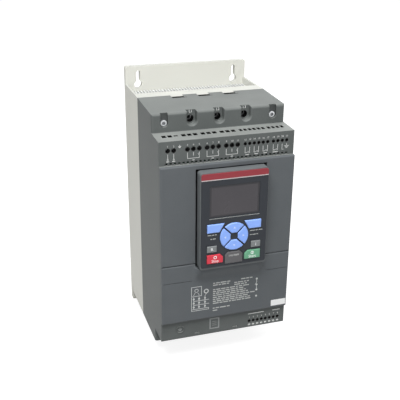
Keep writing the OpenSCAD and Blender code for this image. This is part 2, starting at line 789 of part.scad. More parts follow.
module power_screws() {
    color(metal_tone) for (i = [0 : 2]) {
        for (e = module_ears) power_screw(phase_x(i), e, base_d + module_foot_t, base_d - tap_l + 1);
        for (s = ENDS, z = [module_middle - s * pad_pitch, relay_bolt(s)])
            power_screw(phase_x(i) + s * bar_off, z, bar_front, bar_d - bolt_l + 1);
    }
}

module board_holes(front, back, xs, zs) {
    for (x = xs, z = zs) rod(x, z, back - over, front + over, board_screw_r + fit_gap);
}

// Places of the board screws on the housing's posts
control_posts = [lower_block_top + post_edge, z_cover_top - post_edge];
power_posts = [power_board_foot + post_edge, power_board_top - post_edge];

module power_board() {
    back = power_board_front - board_t;
    sunk = 0.5;
    color(board_tone) difference() {
        union() {
            box([-board_w, board_w] / 2, [back, power_board_front], [power_board_foot, power_board_top]);
            for (i = [0 : 2]) {
                box(span(phase_x(i), choke_w), [back - choke_d, back + sunk],
                    rise(power_board_top - 2.5 * choke_h, choke_h));
                box(span(phase_x(i), driver_w), [back - driver_d, back + sunk],
                    rise(power_board_top - 5 * driver_h, driver_h));
            }
            for (s = ENDS) rod(s * (post_x - post_r - cap_r), (power_board_foot + power_board_top) / 2,
                back - cap_l, back + sunk, cap_r);
        }
        board_holes(power_board_front, back, [-post_x, post_x], power_posts);
    }
}

module control_board() {
    sunk = board_front - 0.5;
    color(board_tone) difference() {
        union() {
            box([-board_w, board_w] / 2, [board_back, board_front], [board_foot, board_top]);
            box(span(0, chip_w), [sunk, board_front + board_t], span(z_split - 2 * chip_w, chip_w));
            for (s = ENDS) box(span(s * 2 * choke_w, choke_w), [sunk, board_front + choke_d],
                rise(z_split - 3 * choke_h, choke_h));
            for (k = [0 : 5]) box(span((k - 5) * driver_d, driver_d / 2), [sunk, board_front + 2 * board_t],
                rise(z_split - driver_h - split_rise, driver_h / 2));
        }
        board_holes(board_front, board_back, [-post_x, post_x], control_posts);
    }
}

module board_screws() {
    head_t = 1.8;
    head = board_screw_r * 1.9;
    color(metal_tone) for (x = [-post_x, post_x]) {
        for (z = control_posts) {
            rod(x, z, board_front, board_front + head_t, head);
            rod(x, z, board_back - 5, board_front + 0.5, board_screw_r);
        }
        for (z = power_posts) {
            rod(x, z, power_board_front - board_t - head_t, power_board_front - board_t, head);
            rod(x, z, power_board_front - board_t - 0.5, power_board_front + 5, board_screw_r);
        }
    }
}

module panel_socket() {
    w = plug_w + 2 * fit_gap + 2 * socket_wall;
    h = plug_h + 2 * fit_gap + 2 * socket_wall;
    color(black_tone) at_keypad() difference() {
        box([-w, w] / 2, [board_front, socket_front], [-h, h] / 2);
        box([-w, w] / 2 + [socket_wall, -socket_wall], [board_front + socket_floor, socket_front + over],
            [-h, h] / 2 + [socket_wall, -socket_wall]);
    }
}

// A terminal block with collared driver wells in its front and wire holes in its top or bottom
module terminal_block(xs, pitch, hole_r, z, well_z, front, up) {
    wire_w = pitch - 2;
    wire_l = slot_l - 1;
    face = front + fit_gap + housing_wall;
    wells = [for (x = xs) if (abs(x - earth_x) > over) x];
    difference() {
        union() {
            box([xs[0] - pitch / 2, xs[len(xs) - 1] + pitch / 2], [board_front, front], z);
            for (x = wells) rod(x, well_z, front - over, face, hole_r - thread_gap);
        }
        for (x = wells) rod(x, well_z, front - well_l, face + over, hole_r - collar_t);
        for (x = xs) box(span(x, wire_w), span(slot_depth, wire_l),
            up ? [z[1] - wire_room, z[1] + over] : [z[0] - over, z[0] + wire_room]);
    }
}

module relay_terminals() {
    color(terminal_tone) for (x0 = relay_starts)
        terminal_block([for (i = [0 : relay_in_group - 1]) x0 + i * relay_pitch], relay_pitch,
            relay_hole_r, [block_foot, block_top], hole_z, block_front, true);
}

module signal_terminals() {
    color(terminal_tone) for (g = [0, 1])
        terminal_block([for (i = [0 : signal_counts[g] - 1]) signal_starts[g] + i * signal_pitch],
            signal_pitch, signal_hole_r, [block_foot, block_top], hole_z, block_front, true);
}

module lower_terminals() {
    color(terminal_tone) terminal_block([for (i = [lower_count - 1 : -1 : 0]) lower_x[i]], signal_pitch,
        signal_hole_r, [lower_block_foot, lower_block_top], lower_hole_z, lower_block_front, false);
}

module slotted_screw(x, z, floor, r) {
    head_t = 2.5;
    slot_t = 0.9;
    difference() {
        rod(x, z, floor, floor + head_t, r);
        box(span(x, 4 * r), rise(floor + head_t - slot_t, 2 * slot_t), span(z, 0.6));
    }
}

module terminal_screws() {
    play = collar_t + thread_gap;
    color(metal_tone) {
        for (x = relay_x) slotted_screw(x, hole_z, block_front - well_l, relay_hole_r - play);
        for (x = signal_x) slotted_screw(x, hole_z, block_front - well_l, signal_hole_r - play);
        for (x = lower_x) slotted_screw(x, lower_hole_z, lower_block_front - well_l, signal_hole_r - play);
    }
}

// Outer form of the housing: the power section and the control section in front of it
module housing_body() {
    top_front = z_top - top_fall;
    intersection() {
        across(body_w + 2 * over) polygon(concat([[base_d, z_bottom], [base_d, z_top]],
            arc([power_d - edge_r, top_front - edge_r], edge_r, 90, 0), [[power_d, z_bottom]]));
        translate([0, 0, z_bottom - over]) linear_extrude(housing_h + 2 * over)
            round_front(body_w, base_d, power_d, edge_r);
    }
    intersection() {
        across(body_w + 2 * over) polygon(concat([[power_d - housing_wall, z_foot],
            [power_d - housing_wall, z_ledge], [terminal_d, z_ledge - ledge_fall], [terminal_d, z_cover_top],
            [control_d, z_cover_top]], arc([control_d - edge_r, z_foot + edge_r], edge_r, 0, -90)));
        translate([0, 0, z_foot - over]) linear_extrude(z_ledge - z_foot + 2 * over)
            round_front(body_w, power_d - housing_wall, control_d, cover_r);
    }
}

// Hollows of the housing, open at the back and closed by a partition between the two sections
module housing_hollows() {
    inside = body_w - 2 * housing_wall;
    w = housing_wall;
    across(inside) polygon([[base_d - over, z_bottom + w], [base_d - over, z_top - w],
        [power_d - w, z_top - top_fall - w], [power_d - w, z_bottom + w]]);
    across(inside) polygon([[power_d, z_foot + w], [power_d, z_ledge - w],
        [terminal_d - w, z_ledge - ledge_fall - w], [terminal_d - w, z_cover_top - over],
        [control_d - w, z_cover_top - over], [control_d - w, z_foot + w]]);
}

// Outline of a driver recess that opens through the housing's end
module recess_outline(s, grow) {
    half = recess_w / 2 + grow;
    circle(half);
    translate([-half, s > 0 ? 0 : -recess_drop - over]) square([2 * half, recess_drop + over]);
}

// Chamfer round the mouth of a driver recess, with its round end and its straight sides
module recess_mouth(s) {
    half = recess_w / 2;
    from = power_d - recess_edge;
    to = power_d + over;
    wide = half + to - from;
    translate([0, -from, 0]) rotate([90, 0, 0]) cylinder(r1 = half, r2 = wide, h = to - from);
    translate([0, 0, s > 0 ? 0 : -recess_drop - over]) linear_extrude(recess_drop + over)
        polygon([[-half, -from], [half, -from], [wide, -to], [-wide, -to]]);
}

module at_recess(i, s) translate([phase_x(i), 0, end_z(s) - s * recess_drop]) children();

module housing_insides() {
    intersection() {
        union() for (s = ENDS) {
            for (i = [0 : 2]) at_recess(i, s) {
                slab(recess_floor - recess_wall, power_d - over) recess_outline(s, recess_wall);
                rod(0, 0, clamp_front + fit_gap, recess_floor, driver_r + guide_wall);
            }
            for (x = [-screw_x, screw_x]) {
                z = end_z(s) - s * screw_drop;
                rod(x, z, base_d, power_d - over, screw_r + 2.5);
                box(span(x, channel_w + 4), [power_d - channel_d - 2, power_d - over],
                    s > 0 ? [z - channel_w / 2 - 2, z_top] : [z_bottom, z + channel_w / 2 + 2]);
            }
        }
        housing_body();
    }
    for (x = [-post_x, post_x]) {
        for (z = control_posts) rod(x, z, power_d - over, board_back, post_r);
        for (z = power_posts) rod(x, z, power_board_front, power_d - over, post_r);
    }
}

module housing_openings() {
    rim = 4;
    slot_rib = 1.9;
    ledge_cut = [z_ledge - housing_wall - 2 * over, z_ledge + over];
    foot_cut = [z_foot - over, z_foot + housing_wall + over];
    tab_end = base_d + tab_d + fit_gap;
    latch_web = 1;
    latch_l = 2;
    latch_line = 1;
    latch_reach = 3;
    mark_w = 6;
    vent_z = z_cover_top + 0.6 + vent_side / 2;
    vent_gaps = floor((body_w - 2 * vent_edge) / vent_pitch);
    // Front opening behind the covers, up to the keypad bay
    box(span(0, body_w - 2 * housing_wall - 2 * rim), [control_d - housing_wall - over, control_d + over],
        [z_cover_foot + rim, keypad_z + bay_top + bay_wall + fit_gap]);
    // Way through the partition for the ribbon between the boards
    box(span(0, 40), [power_d - housing_wall - over, power_d + over], span(z_split, 16));
    for (s = ENDS) {
        for (i = [0 : 2]) {
            at_recess(i, s) {
                slab(recess_floor, power_d + over) recess_outline(s, 0);
                recess_mouth(s);
                rod(0, 0, clamp_front, recess_floor + over, driver_r);
            }
            box(span(phase_x(i), tab_w + 2 * fit_gap), [base_d - over, tab_end], end_cut(s));
            box(span(phase_x(i), tab_w), rise(tab_end + latch_web, latch_l), end_cut(s));
            box([phase_x(i) - tab_w / 2, phase_x(i) + tab_w / 2 + latch_reach],
                rise(tab_end + 2 * latch_web + latch_l, latch_line), end_cut(s));
        }
        for (x = [-screw_x, screw_x]) {
            z = end_z(s) - s * screw_drop;
            rod(x, z, base_d - over, power_d, screw_r + fit_gap);
            rod(x, z, power_d - channel_d, power_d + over, channel_w / 2);
            box(span(x, channel_w), [power_d - channel_d, power_d + over],
                s > 0 ? [z, z_top + over] : [z_bottom - over, z]);
        }
    }
    for (x = [-post_x, post_x]) {
        for (z = control_posts) rod(x, z, board_back - 6, board_back + over, board_screw_r + thread_gap);
        for (z = power_posts)
            rod(x, z, power_board_front - over, power_board_front + 6, board_screw_r + thread_gap);
    }
    // Driver holes, wire slots and vents of the control terminals
    for (x = relay_x) rod(x, hole_z, terminal_d - housing_wall - over, terminal_d + over, relay_hole_r);
    for (x = signal_x) rod(x, hole_z, terminal_d - housing_wall - over, terminal_d + over, signal_hole_r);
    for (x = relay_x) box(span(x, relay_pitch - slot_rib), span(slot_depth, slot_l), ledge_cut);
    for (x = signal_x) box(span(x, signal_pitch - slot_rib), span(slot_depth, slot_l), ledge_cut);
    box(span(earth_x, relay_pitch - slot_rib), span(slot_depth, slot_l / 2), ledge_cut);
    for (x = lower_x) {
        rod(x, lower_hole_z, control_d - housing_wall - over, control_d + over, signal_hole_r);
        box(span(x, signal_pitch - slot_rib), span(slot_depth, slot_l), foot_cut);
    }
    for (i = [0 : vent_gaps]) box(span((i - vent_gaps / 2) * vent_pitch, vent_side),
        [terminal_d - housing_wall - over, terminal_d + over], span(vent_z, vent_side));
    for (x = [-33, 13]) box(span(x, mark_w), [control_d - 1, control_d + over], span(z_foot + 5, 1.2));
}

module front_housing() {
    color(graphite_tone) difference() {
        union() {
            difference() {
                housing_body();
                housing_hollows();
            }
            housing_insides();
            rod(-boss_x, z_foot + boss_rise, control_d - over, control_d + boss_t, boss_r);
        }
        housing_openings();
        rod(-boss_x, z_foot + boss_rise, control_d - boss_t, control_d + over, boss_r - boss_rim);
    }
}

module housing_screws() {
    head_t = 2;
    drive_r = 2;
    drive_l = 1.4;
    color(metal_tone) for (x = [-screw_x, screw_x], s = ENDS) {
        z = end_z(s) - s * screw_drop;
        seat = power_d - channel_d;
        difference() {
            union() {
                rod(x, z, seat, seat + head_t, head_r);
                rod(x, z, base_d - tap_l + 1, seat + over, screw_r - thread_gap);
            }
            rod(x, z, seat + head_t - drive_l, seat + head_t + over, drive_r, $fn = 6);
        }
    }
}

// A front cover between two heights, hollow behind and with round outer edges
module cover_plate(z) {
    skin = 2.5;
    rim = 3;
    difference() {
        intersection() {
            across(body_w) polygon(concat([[control_d, z[0]], [control_d, z[1]]],
                arc([cover_d - cover_r, z[1] - cover_r], cover_r, 90, 0),
                arc([cover_d - cover_r, z[0] + cover_r], cover_r, 0, -90)));
            translate([0, 0, z[0] - over]) linear_extrude(z[1] - z[0] + 2 * over)
                round_front(body_w, control_d, cover_d, cover_r);
        }
        box([-body_w, body_w] / 2 + [rim, -rim], [control_d - over, cover_d - skin], z + [rim, -rim]);
    }
}

module bay_outline(grow) {
    translate([-bay_w / 2 - grow, bay_foot - grow]) square([bay_w + 2 * grow, bay_top - bay_foot + 2 * grow]);
}

module upper_cover() {
    seam = 0.4;
    socket_w = plug_w + 4 * fit_gap + 2 * socket_wall;
    socket_h = plug_h + 4 * fit_gap + 2 * socket_wall;
    color(cover_tone) difference() {
        union() {
            cover_plate([z_split + seam, z_cover_top]);
            at_keypad() slab(bay_floor - bay_floor_t, control_d - fit_gap) bay_outline(bay_wall);
            at_keypad() box([-bay_w / 2 - bay_wall, bay_w / 2 + bay_wall], [control_d - over, cover_d - over],
                [z_split + seam - keypad_z, bay_top + bay_wall]);
        }
        at_keypad() {
            slab(bay_floor, cover_d + over) bay_outline(0);
            box(span(0, socket_w), [bay_floor - bay_floor_t - over, bay_floor + over], span(0, socket_h));
        }
    }
}

// A soft fall from 1 to 0 as t goes from 0 to 1
function soft_fall(t) = (1 + cos(180 * max(0, min(1, t)))) / 2;
// Lift of the chin over the cover, at x from the keypad's middle and z from the foot of its bay
function chin_lift(x, z) = ramp_lift * soft_fall((abs(x) - keypad_w / 2 + ramp_side) / (2 * ramp_side))
    * soft_fall(z < 0 ? -z / ramp_h : z / (split_rise - cover_r));

// The chin below the keypad swells out of the cover and falls off softly to all sides
module chin_ramp() {
    flank_steps = 8;
    ramp_steps = 12;
    shoulder_steps = 4;
    root = 1;
    sunk = 0.05;
    flank = [for (i = [0 : flank_steps]) keypad_w / 2 + ramp_side * (1 - 2 * i / flank_steps)];
    xs = concat(-flank, [for (i = [flank_steps : -1 : 0]) flank[i]]);
    zs = concat([for (i = [ramp_steps : -1 : 0]) -ramp_h * i / ramp_steps],
        [for (i = [1 : shoulder_steps]) (split_rise - cover_r) * i / shoulder_steps]);
    nx = len(xs);
    nz = len(zs);
    skin = [for (z = zs, x = xs) [x, -cover_d + sunk - chin_lift(x, z), z]];
    back = [for (z = zs, x = xs) [x, -cover_d + root, z]];
    n = nx * nz;
    // Points of the outline in turn, seen from the front
    rim = concat([for (i = [0 : nx - 1]) i], [for (j = [1 : nz - 1]) j * nx + nx - 1],
        [for (i = [nx - 2 : -1 : 0]) (nz - 1) * nx + i], [for (j = [nz - 2 : -1 : 1]) j * nx]);
    m = len(rim);
    translate([keypad_x, 0, keypad_z + bay_foot]) polyhedron(concat(skin, back), concat(
        [for (j = [0 : nz - 2], i = [0 : nx - 2], c = [j * nx + i]) [c, c + nx, c + nx + 1]],
        [for (j = [0 : nz - 2], i = [0 : nx - 2], c = [j * nx + i]) [c, c + nx + 1, c + 1]],
        [for (j = [0 : nz - 2], i = [0 : nx - 2], c = [n + j * nx + i]) [c, c + nx + 1, c + nx]],
        [for (j = [0 : nz - 2], i = [0 : nx - 2], c = [n + j * nx + i]) [c, c + 1, c + nx + 1]],
        [for (k = [0 : m - 1], a = [rim[k]], b = [rim[(k + 1) % m]]) [a, b, n + b]],
        [for (k = [0 : m - 1], a = [rim[k]], b = [rim[(k + 1) % m]]) [a, n + b, n + a]]));
}

module lower_cover() {
    groove = 0.7;
    groove_z = z_split - groove_drop;
    color(cover_tone) difference() {
        union() {
            difference() {
                cover_plate([z_cover_foot, z_split]);
                box([-body_w, body_w], [cover_d - groove, cover_d + over], span(groove_z, groove));
            }
            chin_ramp();
        }
        at_keypad() slab(control_d - over, face_d + over) bay_outline(0);
    }
}

module blank_label() {
    color(white_tone) box(span(body_w / 2 - cover_r - plate_label_w / 2, plate_label_w),
        rise(cover_d, plate_label_t), rise(z_cover_foot + 3, plate_label_h));
}

module keypad_shell(from, to, floor, front) {
    difference() {
        slab(from, to) rounded(keypad_w, keypad_h, keypad_r);
        slab(front ? from - over : from + floor, front ? to - floor : to + over)
            rounded(keypad_w - 2 * keypad_wall, keypad_h - 2 * keypad_wall, keypad_r - keypad_wall / 2);
    }
}

module key_outline(k, g) {
    if (is_nav(k)) translate([0, nav_z]) rotate(nav_turn(k)) intersection() {
        circle(nav_r + g);
        polygon(grown(nav_wedge, g));
    }
    else polygon(grown(key_points(k), g));
}

module key_openings() {
    for (k = KEYS) key_outline(k, key_gap);
}

module keypad_case() {
    seam = 0.2;
    w = plug_w + 2 * fit_gap;
    h = plug_h + 2 * fit_gap;
    color(black_tone) at_keypad() difference() {
        keypad_shell(keypad_back, cover_d - seam, keypad_wall, false);
        box([-w, w] / 2, [keypad_back - over, keypad_back + keypad_wall + over], [-h, h] / 2);
    }
}

module keypad_bezel() {
    rest = 2;
    color(overlay_tone) at_keypad() difference() {
        keypad_shell(cover_d, overlay_back, bezel_t, true);
        slab(bezel_back - over, overlay_back + over) {
            key_openings();
            translate([0, window_z]) square([window_w - 2 * rest, window_h - 2 * rest], center = true);
        }
    }
}

module keypad_overlay() {
    w = keypad_w - 2 * overlay_rim;
    h = keypad_h - overlay_rim - chin_h;
    color(overlay_tone) at_keypad() slab(overlay_back, face_d) difference() {
        translate([0, (chin_h - overlay_rim) / 2]) rounded(w, h, keypad_r - overlay_rim);
        key_openings();
        translate([0, window_z]) square([window_w, window_h], center = true);
    }
}

module display_window() {
    inset = 0.2;
    color(window_tone) at_keypad() slab(overlay_back, face_d - overlay_t / 2) translate([0, window_z])
        square([window_w - 2 * inset, window_h - 2 * inset], center = true);
}

module display_module() {
    color(metal_tone) at_keypad() slab(key_board_front, bezel_back - 0.2) translate([0, window_z])
        square([window_w + 6, window_h + 8], center = true);
}

module keypad_board() {
    w = keypad_w - 2 * keypad_wall - 2 * fit_gap;
    h = keypad_h - 2 * keypad_wall - 2 * fit_gap;
    dome_r = 2.4;
    color(board_tone) at_keypad() {
        slab(key_board_back, key_board_front) rounded(w, h, 2);
        for (k = KEYS, m = [key_middle(k)])
            rod(m[0], m[1], key_board_front - board_t / 2, key_board_front + dome_t, dome_r);
        box(span(0, plug_w), [plug_tip, key_board_back + board_t / 2], span(0, plug_h));
    }
}

// A key: cap through the bezel and overlay, lip behind the bezel and plunger over its dome
module keypad_key(k, tone) {
    top = face_d + key_proud;
    shoulder = top - key_crown;
    thin = 0.05;
    color(tone) at_keypad() {
        slab(bezel_back - key_stop - lip_t, shoulder) key_outline(k, 0);
        hull() {
            slab(shoulder - thin, shoulder) key_outline(k, 0, $fn = 32);
            slab(top - thin, top) key_outline(k, -key_crown, $fn = 32);
        }
        slab(bezel_back - key_stop - lip_t, bezel_back - key_stop) key_outline(k, key_lip);
        rod(key_middle(k)[0], key_middle(k)[1], bezel_back - key_stop - lip_t - plunger_l,
            bezel_back - key_stop - lip_t / 2, plunger_r);
    }
}

function key_tone(k) = k == "stop_key" ? stop_tone : k == "start_key" ? start_tone
    : k == "middle_key" ? middle_tone : k == "remote_key" || k == "info_key" ? grey_tone : blue_tone;

base_chassis();
heatsink();
fan_tray();
fan_frame(-1);  // fan_frame_left
fan_frame(1);  // fan_frame_right
fan_rotor(-1);  // fan_rotor_left
fan_rotor(1);  // fan_rotor_right
for (i = [0 : 2]) {
    thyristor_module(i);
    bypass_relay(i);
    current_transformer(i);
    busbar(i, 1);
    busbar(i, -1);
    terminal_clamp(i, 1);
    terminal_clamp(i, -1);
}
clamp_screws();
power_screws();
power_board();
control_board();
board_screws();
panel_socket();
relay_terminals();
signal_terminals();
lower_terminals();
terminal_screws();
front_housing();
housing_screws();
upper_cover();
lower_cover();
blank_label();
keypad_case();
keypad_bezel();
keypad_overlay();
display_window();
display_module();
keypad_board();
for (k = KEYS) keypad_key(k, key_tone(k));
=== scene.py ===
import json
import math
import bpy
from mathutils import Matrix, Vector


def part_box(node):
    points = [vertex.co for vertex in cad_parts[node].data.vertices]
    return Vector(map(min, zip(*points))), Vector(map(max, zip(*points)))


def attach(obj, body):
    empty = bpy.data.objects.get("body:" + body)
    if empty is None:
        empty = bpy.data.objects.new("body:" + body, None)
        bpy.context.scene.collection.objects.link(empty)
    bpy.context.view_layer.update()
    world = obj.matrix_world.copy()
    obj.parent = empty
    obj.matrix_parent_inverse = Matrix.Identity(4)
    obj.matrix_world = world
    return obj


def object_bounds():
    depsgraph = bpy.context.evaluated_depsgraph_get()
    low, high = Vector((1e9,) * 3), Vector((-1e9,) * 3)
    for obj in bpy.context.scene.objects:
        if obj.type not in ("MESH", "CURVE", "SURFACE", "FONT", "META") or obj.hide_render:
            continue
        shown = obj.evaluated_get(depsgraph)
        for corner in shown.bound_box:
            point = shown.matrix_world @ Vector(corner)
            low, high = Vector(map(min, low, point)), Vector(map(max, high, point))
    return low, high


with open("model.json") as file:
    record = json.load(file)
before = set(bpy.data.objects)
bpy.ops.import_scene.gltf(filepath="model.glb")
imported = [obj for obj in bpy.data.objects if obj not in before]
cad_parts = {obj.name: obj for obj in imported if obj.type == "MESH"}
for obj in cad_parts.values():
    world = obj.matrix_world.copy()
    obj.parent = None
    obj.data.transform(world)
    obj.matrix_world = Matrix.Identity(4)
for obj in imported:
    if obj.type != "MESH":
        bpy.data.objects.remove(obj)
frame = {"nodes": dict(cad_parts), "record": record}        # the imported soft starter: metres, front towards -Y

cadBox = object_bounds()
scene = bpy.context.scene
scene.view_settings.view_transform = "Standard"
mm = 0.001


def tone(red, green, blue):          # a screen colour as the shader's own linear values
    def line(level):
        level = level / 255
        return level / 12.92 if level <= 0.04045 else ((level + 0.055) / 1.055) ** 2.4
    return (line(red), line(green), line(blue), 1)


def middleOf(box, axis):
    return (box[0][axis] + box[1][axis]) / 2


def pickNone():
    bpy.ops.object.select_all(action="DESELECT")


print("stage: camera and studio")

photoView = {
    "turn": -17.60,                  # degrees round the part from straight in front
    "height": 23.10,                 # degrees above level
    "roll": 0.45,
    "place": (-241.8 * mm, -827.6 * mm, 343.1 * mm),
    "lens": 64.4,                    # on a sensor 36 wide
    "sensor": 36,
    "nearest": 20 * mm,
}


def makeCamera():
    turn = math.radians(photoView["turn"])
    height = math.radians(photoView["height"])
    roll = math.radians(photoView["roll"])
    back = Vector((math.sin(turn) * math.cos(height), -math.cos(turn) * math.cos(height), math.sin(height)))
    right = (-back).cross(Vector((0, 0, 1))).normalized()
    up = right.cross(-back)
    rightRolled = right * math.cos(roll) + up * math.sin(roll)
    upRolled = up * math.cos(roll) - right * math.sin(roll)
    pickNone()
    bpy.ops.object.camera_add()
    camera = bpy.context.object
    camera.name = "photoCamera"
    aim = Matrix((rightRolled, upRolled, back)).transposed().to_4x4()
    camera.matrix_world = Matrix.Translation(photoView["place"]) @ aim
    camera.data.lens = photoView["lens"]
    camera.data.sensor_width = photoView["sensor"]
    camera.data.clip_start = photoView["nearest"]
    scene.camera = camera


class Wire:                          # a shader socket that takes part in sums
    def __init__(self, tree, socket=None):
        self.tree = tree
        self.socket = socket

    def node(self, kind, settings, sockets, out=0):
        made = self.tree.nodes.new(kind)
        for name, value in settings.items():
            setattr(made, name, value)
        for key, value in sockets.items():
            if isinstance(value, Wire):
                self.tree.links.new(value.socket, made.inputs[key])
            else:
                made.inputs[key].default_value = value
        return Wire(self.tree, made.outputs[out] if len(made.outputs) else None)

    def sum(self, operation, first, second):
        return self.node("ShaderNodeMath", {"operation": operation}, {0: first, 1: second})

    def __add__(self, other):
        return self.sum("ADD", self, other)

    def __radd__(self, other):
        return self.sum("ADD", other, self)

    def __sub__(self, other):
        return self.sum("SUBTRACT", self, other)

    def __rsub__(self, other):
        return self.sum("SUBTRACT", other, self)

    def __mul__(self, other):
        return self.sum("MULTIPLY", self, other)

    def __rmul__(self, other):
        return self.sum("MULTIPLY", other, self)

    def __gt__(self, other):
        return self.sum("GREATER_THAN", self, other)

    def __lt__(self, other):
        return self.sum("LESS_THAN", self, other)

    def __abs__(self):
        return self.sum("ABSOLUTE", self, 0)


noiseMiddle = 0.5                    # the level that a noise swings about
edgeLook = {"samples": 4, "spread": 4}


def newFinish(name):
    finish = bpy.data.materials.new(name)
    finish.use_nodes = True
    finish.node_tree.nodes.clear()
    return finish, Wire(finish.node_tree)


def mixColour(tree, share, first, second):
    return tree.node("ShaderNodeMix", {"data_type": "RGBA"}, {0: share, 6: first, 7: second}, 2)


def clamped(tree, value):
    return tree.node("ShaderNodeClamp", {}, {0: value})


def grainOf(tree, point, size, detail=2.0):      # noise whose lumps are about this size
    return tree.node("ShaderNodeTexNoise", {}, {"Vector": point, "Scale": 1 / size, "Detail": detail}, 0)


def pointOf(tree, centre=(0, 0, 0), stretch=(1, 1, 1)):
    point = tree.node("ShaderNodeTexCoord", {}, {}, "Object")
    moved = tuple(-c * s for c, s in zip(centre, stretch))
    return tree.node("ShaderNodeMapping", {}, {"Vector": point, "Location": moved, "Scale": stretch}, 0)


def axesOf(tree, point):
    parts = tree.node("ShaderNodeSeparateXYZ", {}, {0: point})
    outs = parts.socket.node.outputs
    return Wire(tree.tree, outs[0]), Wire(tree.tree, outs[1]), Wire(tree.tree, outs[2])


def roundedEdge(tree, radius):       # a rounded normal, and how near an edge it is
    soft = tree.node("ShaderNodeBevel", {"samples": edgeLook["samples"]}, {"Radius": radius})
    flat = tree.node("ShaderNodeNewGeometry", {}, {}, "Normal")
    lean = tree.node("ShaderNodeVectorMath", {"operation": "DOT_PRODUCT"}, {0: soft, 1: flat}, "Value")
    return soft, clamped(tree, (1 - lean) * edgeLook["spread"])


def bumpOf(tree, look, height, soft=None):
    sockets = {"Strength": look["depth"], "Distance": look["rise"], "Height": height}
    if soft:
        sockets["Normal"] = soft
    return tree.node("ShaderNodeBump", {}, sockets)


def closeFinish(tree, sockets):
    shader = tree.node("ShaderNodeBsdfPrincipled", {}, sockets)
    tree.node("ShaderNodeOutputMaterial", {}, {"Surface": shader})


studio = {
    "world": 0.38,                   # level of the soft light from all round
    "lamps": {                       # place, size and power
        "topLamp": ((-0.3, -0.7, 1.35), 0.8, 30),
        "fillLamp": ((-0.6, -1.6, 0.2), 1.2, 4.2),
        "backLamp": ((1.5, 1.1, 0.7), 1.2, 22),      # lights the sides that the camera does not see
    },
    "floorSize": 14,
    "floorDrop": 0.5 * mm,           # the gap under the part
    "floorShade": 0.35,
    "floorGlow": 0.86,               # what the picture adds to the floor to make it white
}


def seenRay(tree):                   # 1 where the camera sees it, also in metal or glass
    rays = tree.node("ShaderNodeLightPath", {}, {})
    outs = rays.socket.node.outputs
    seen = Wire(tree.tree, outs["Is Camera Ray"]) + Wire(tree.tree, outs["Is Glossy Ray"])
    return clamped(tree, seen + Wire(tree.tree, outs["Is Transmission Ray"]))


def addLamp(name, place, size, power):
    pickNone()
    bpy.ops.object.light_add(type="AREA", location=place)
    lamp = bpy.context.object
    lamp.name = name
    lamp.data.size = size
    lamp.data.energy = power
    lamp.rotation_euler = (-Vector(place)).to_track_quat("-Z", "Y").to_euler()


def makeStudio():
    world = bpy.data.worlds.new("studioWorld")
    world.use_nodes = True
    world.node_tree.nodes.clear()
    scene.world = world
    tree = Wire(world.node_tree)
    level = studio["world"] + seenRay(tree) * (1 - studio["world"])
    sky = tree.node("ShaderNodeBackground", {}, {"Color": (1, 1, 1, 1), "Strength": level})
    tree.node("ShaderNodeOutputWorld", {}, {"Surface": sky})
    for name, (place, size, power) in studio["lamps"].items():
        addLamp(name, place, size, power)
    pickNone()
    under = (0, 0, cadBox[0][2] - studio["floorDrop"])
    bpy.ops.mesh.primitive_plane_add(size=studio["floorSize"], location=under)
    floor = bpy.context.object
    floor.name = "floor"
    finish, tree = newFinish("paleFloor")
    shade = (studio["floorShade"],) * 3 + (1,)
    paper = tree.node("ShaderNodeBsdfDiffuse", {}, {"Color": shade})
    lift = seenRay(tree) * studio["floorGlow"]
    glow = tree.node("ShaderNodeEmission", {}, {"Color": (1, 1, 1, 1), "Strength": lift})
    both = tree.node("ShaderNodeAddShader", {}, {0: paper, 1: glow})
    tree.node("ShaderNodeOutputMaterial", {}, {"Surface": both})
    floor.data.materials.append(finish)


makeCamera()
makeStudio()

print("stage: finishes")

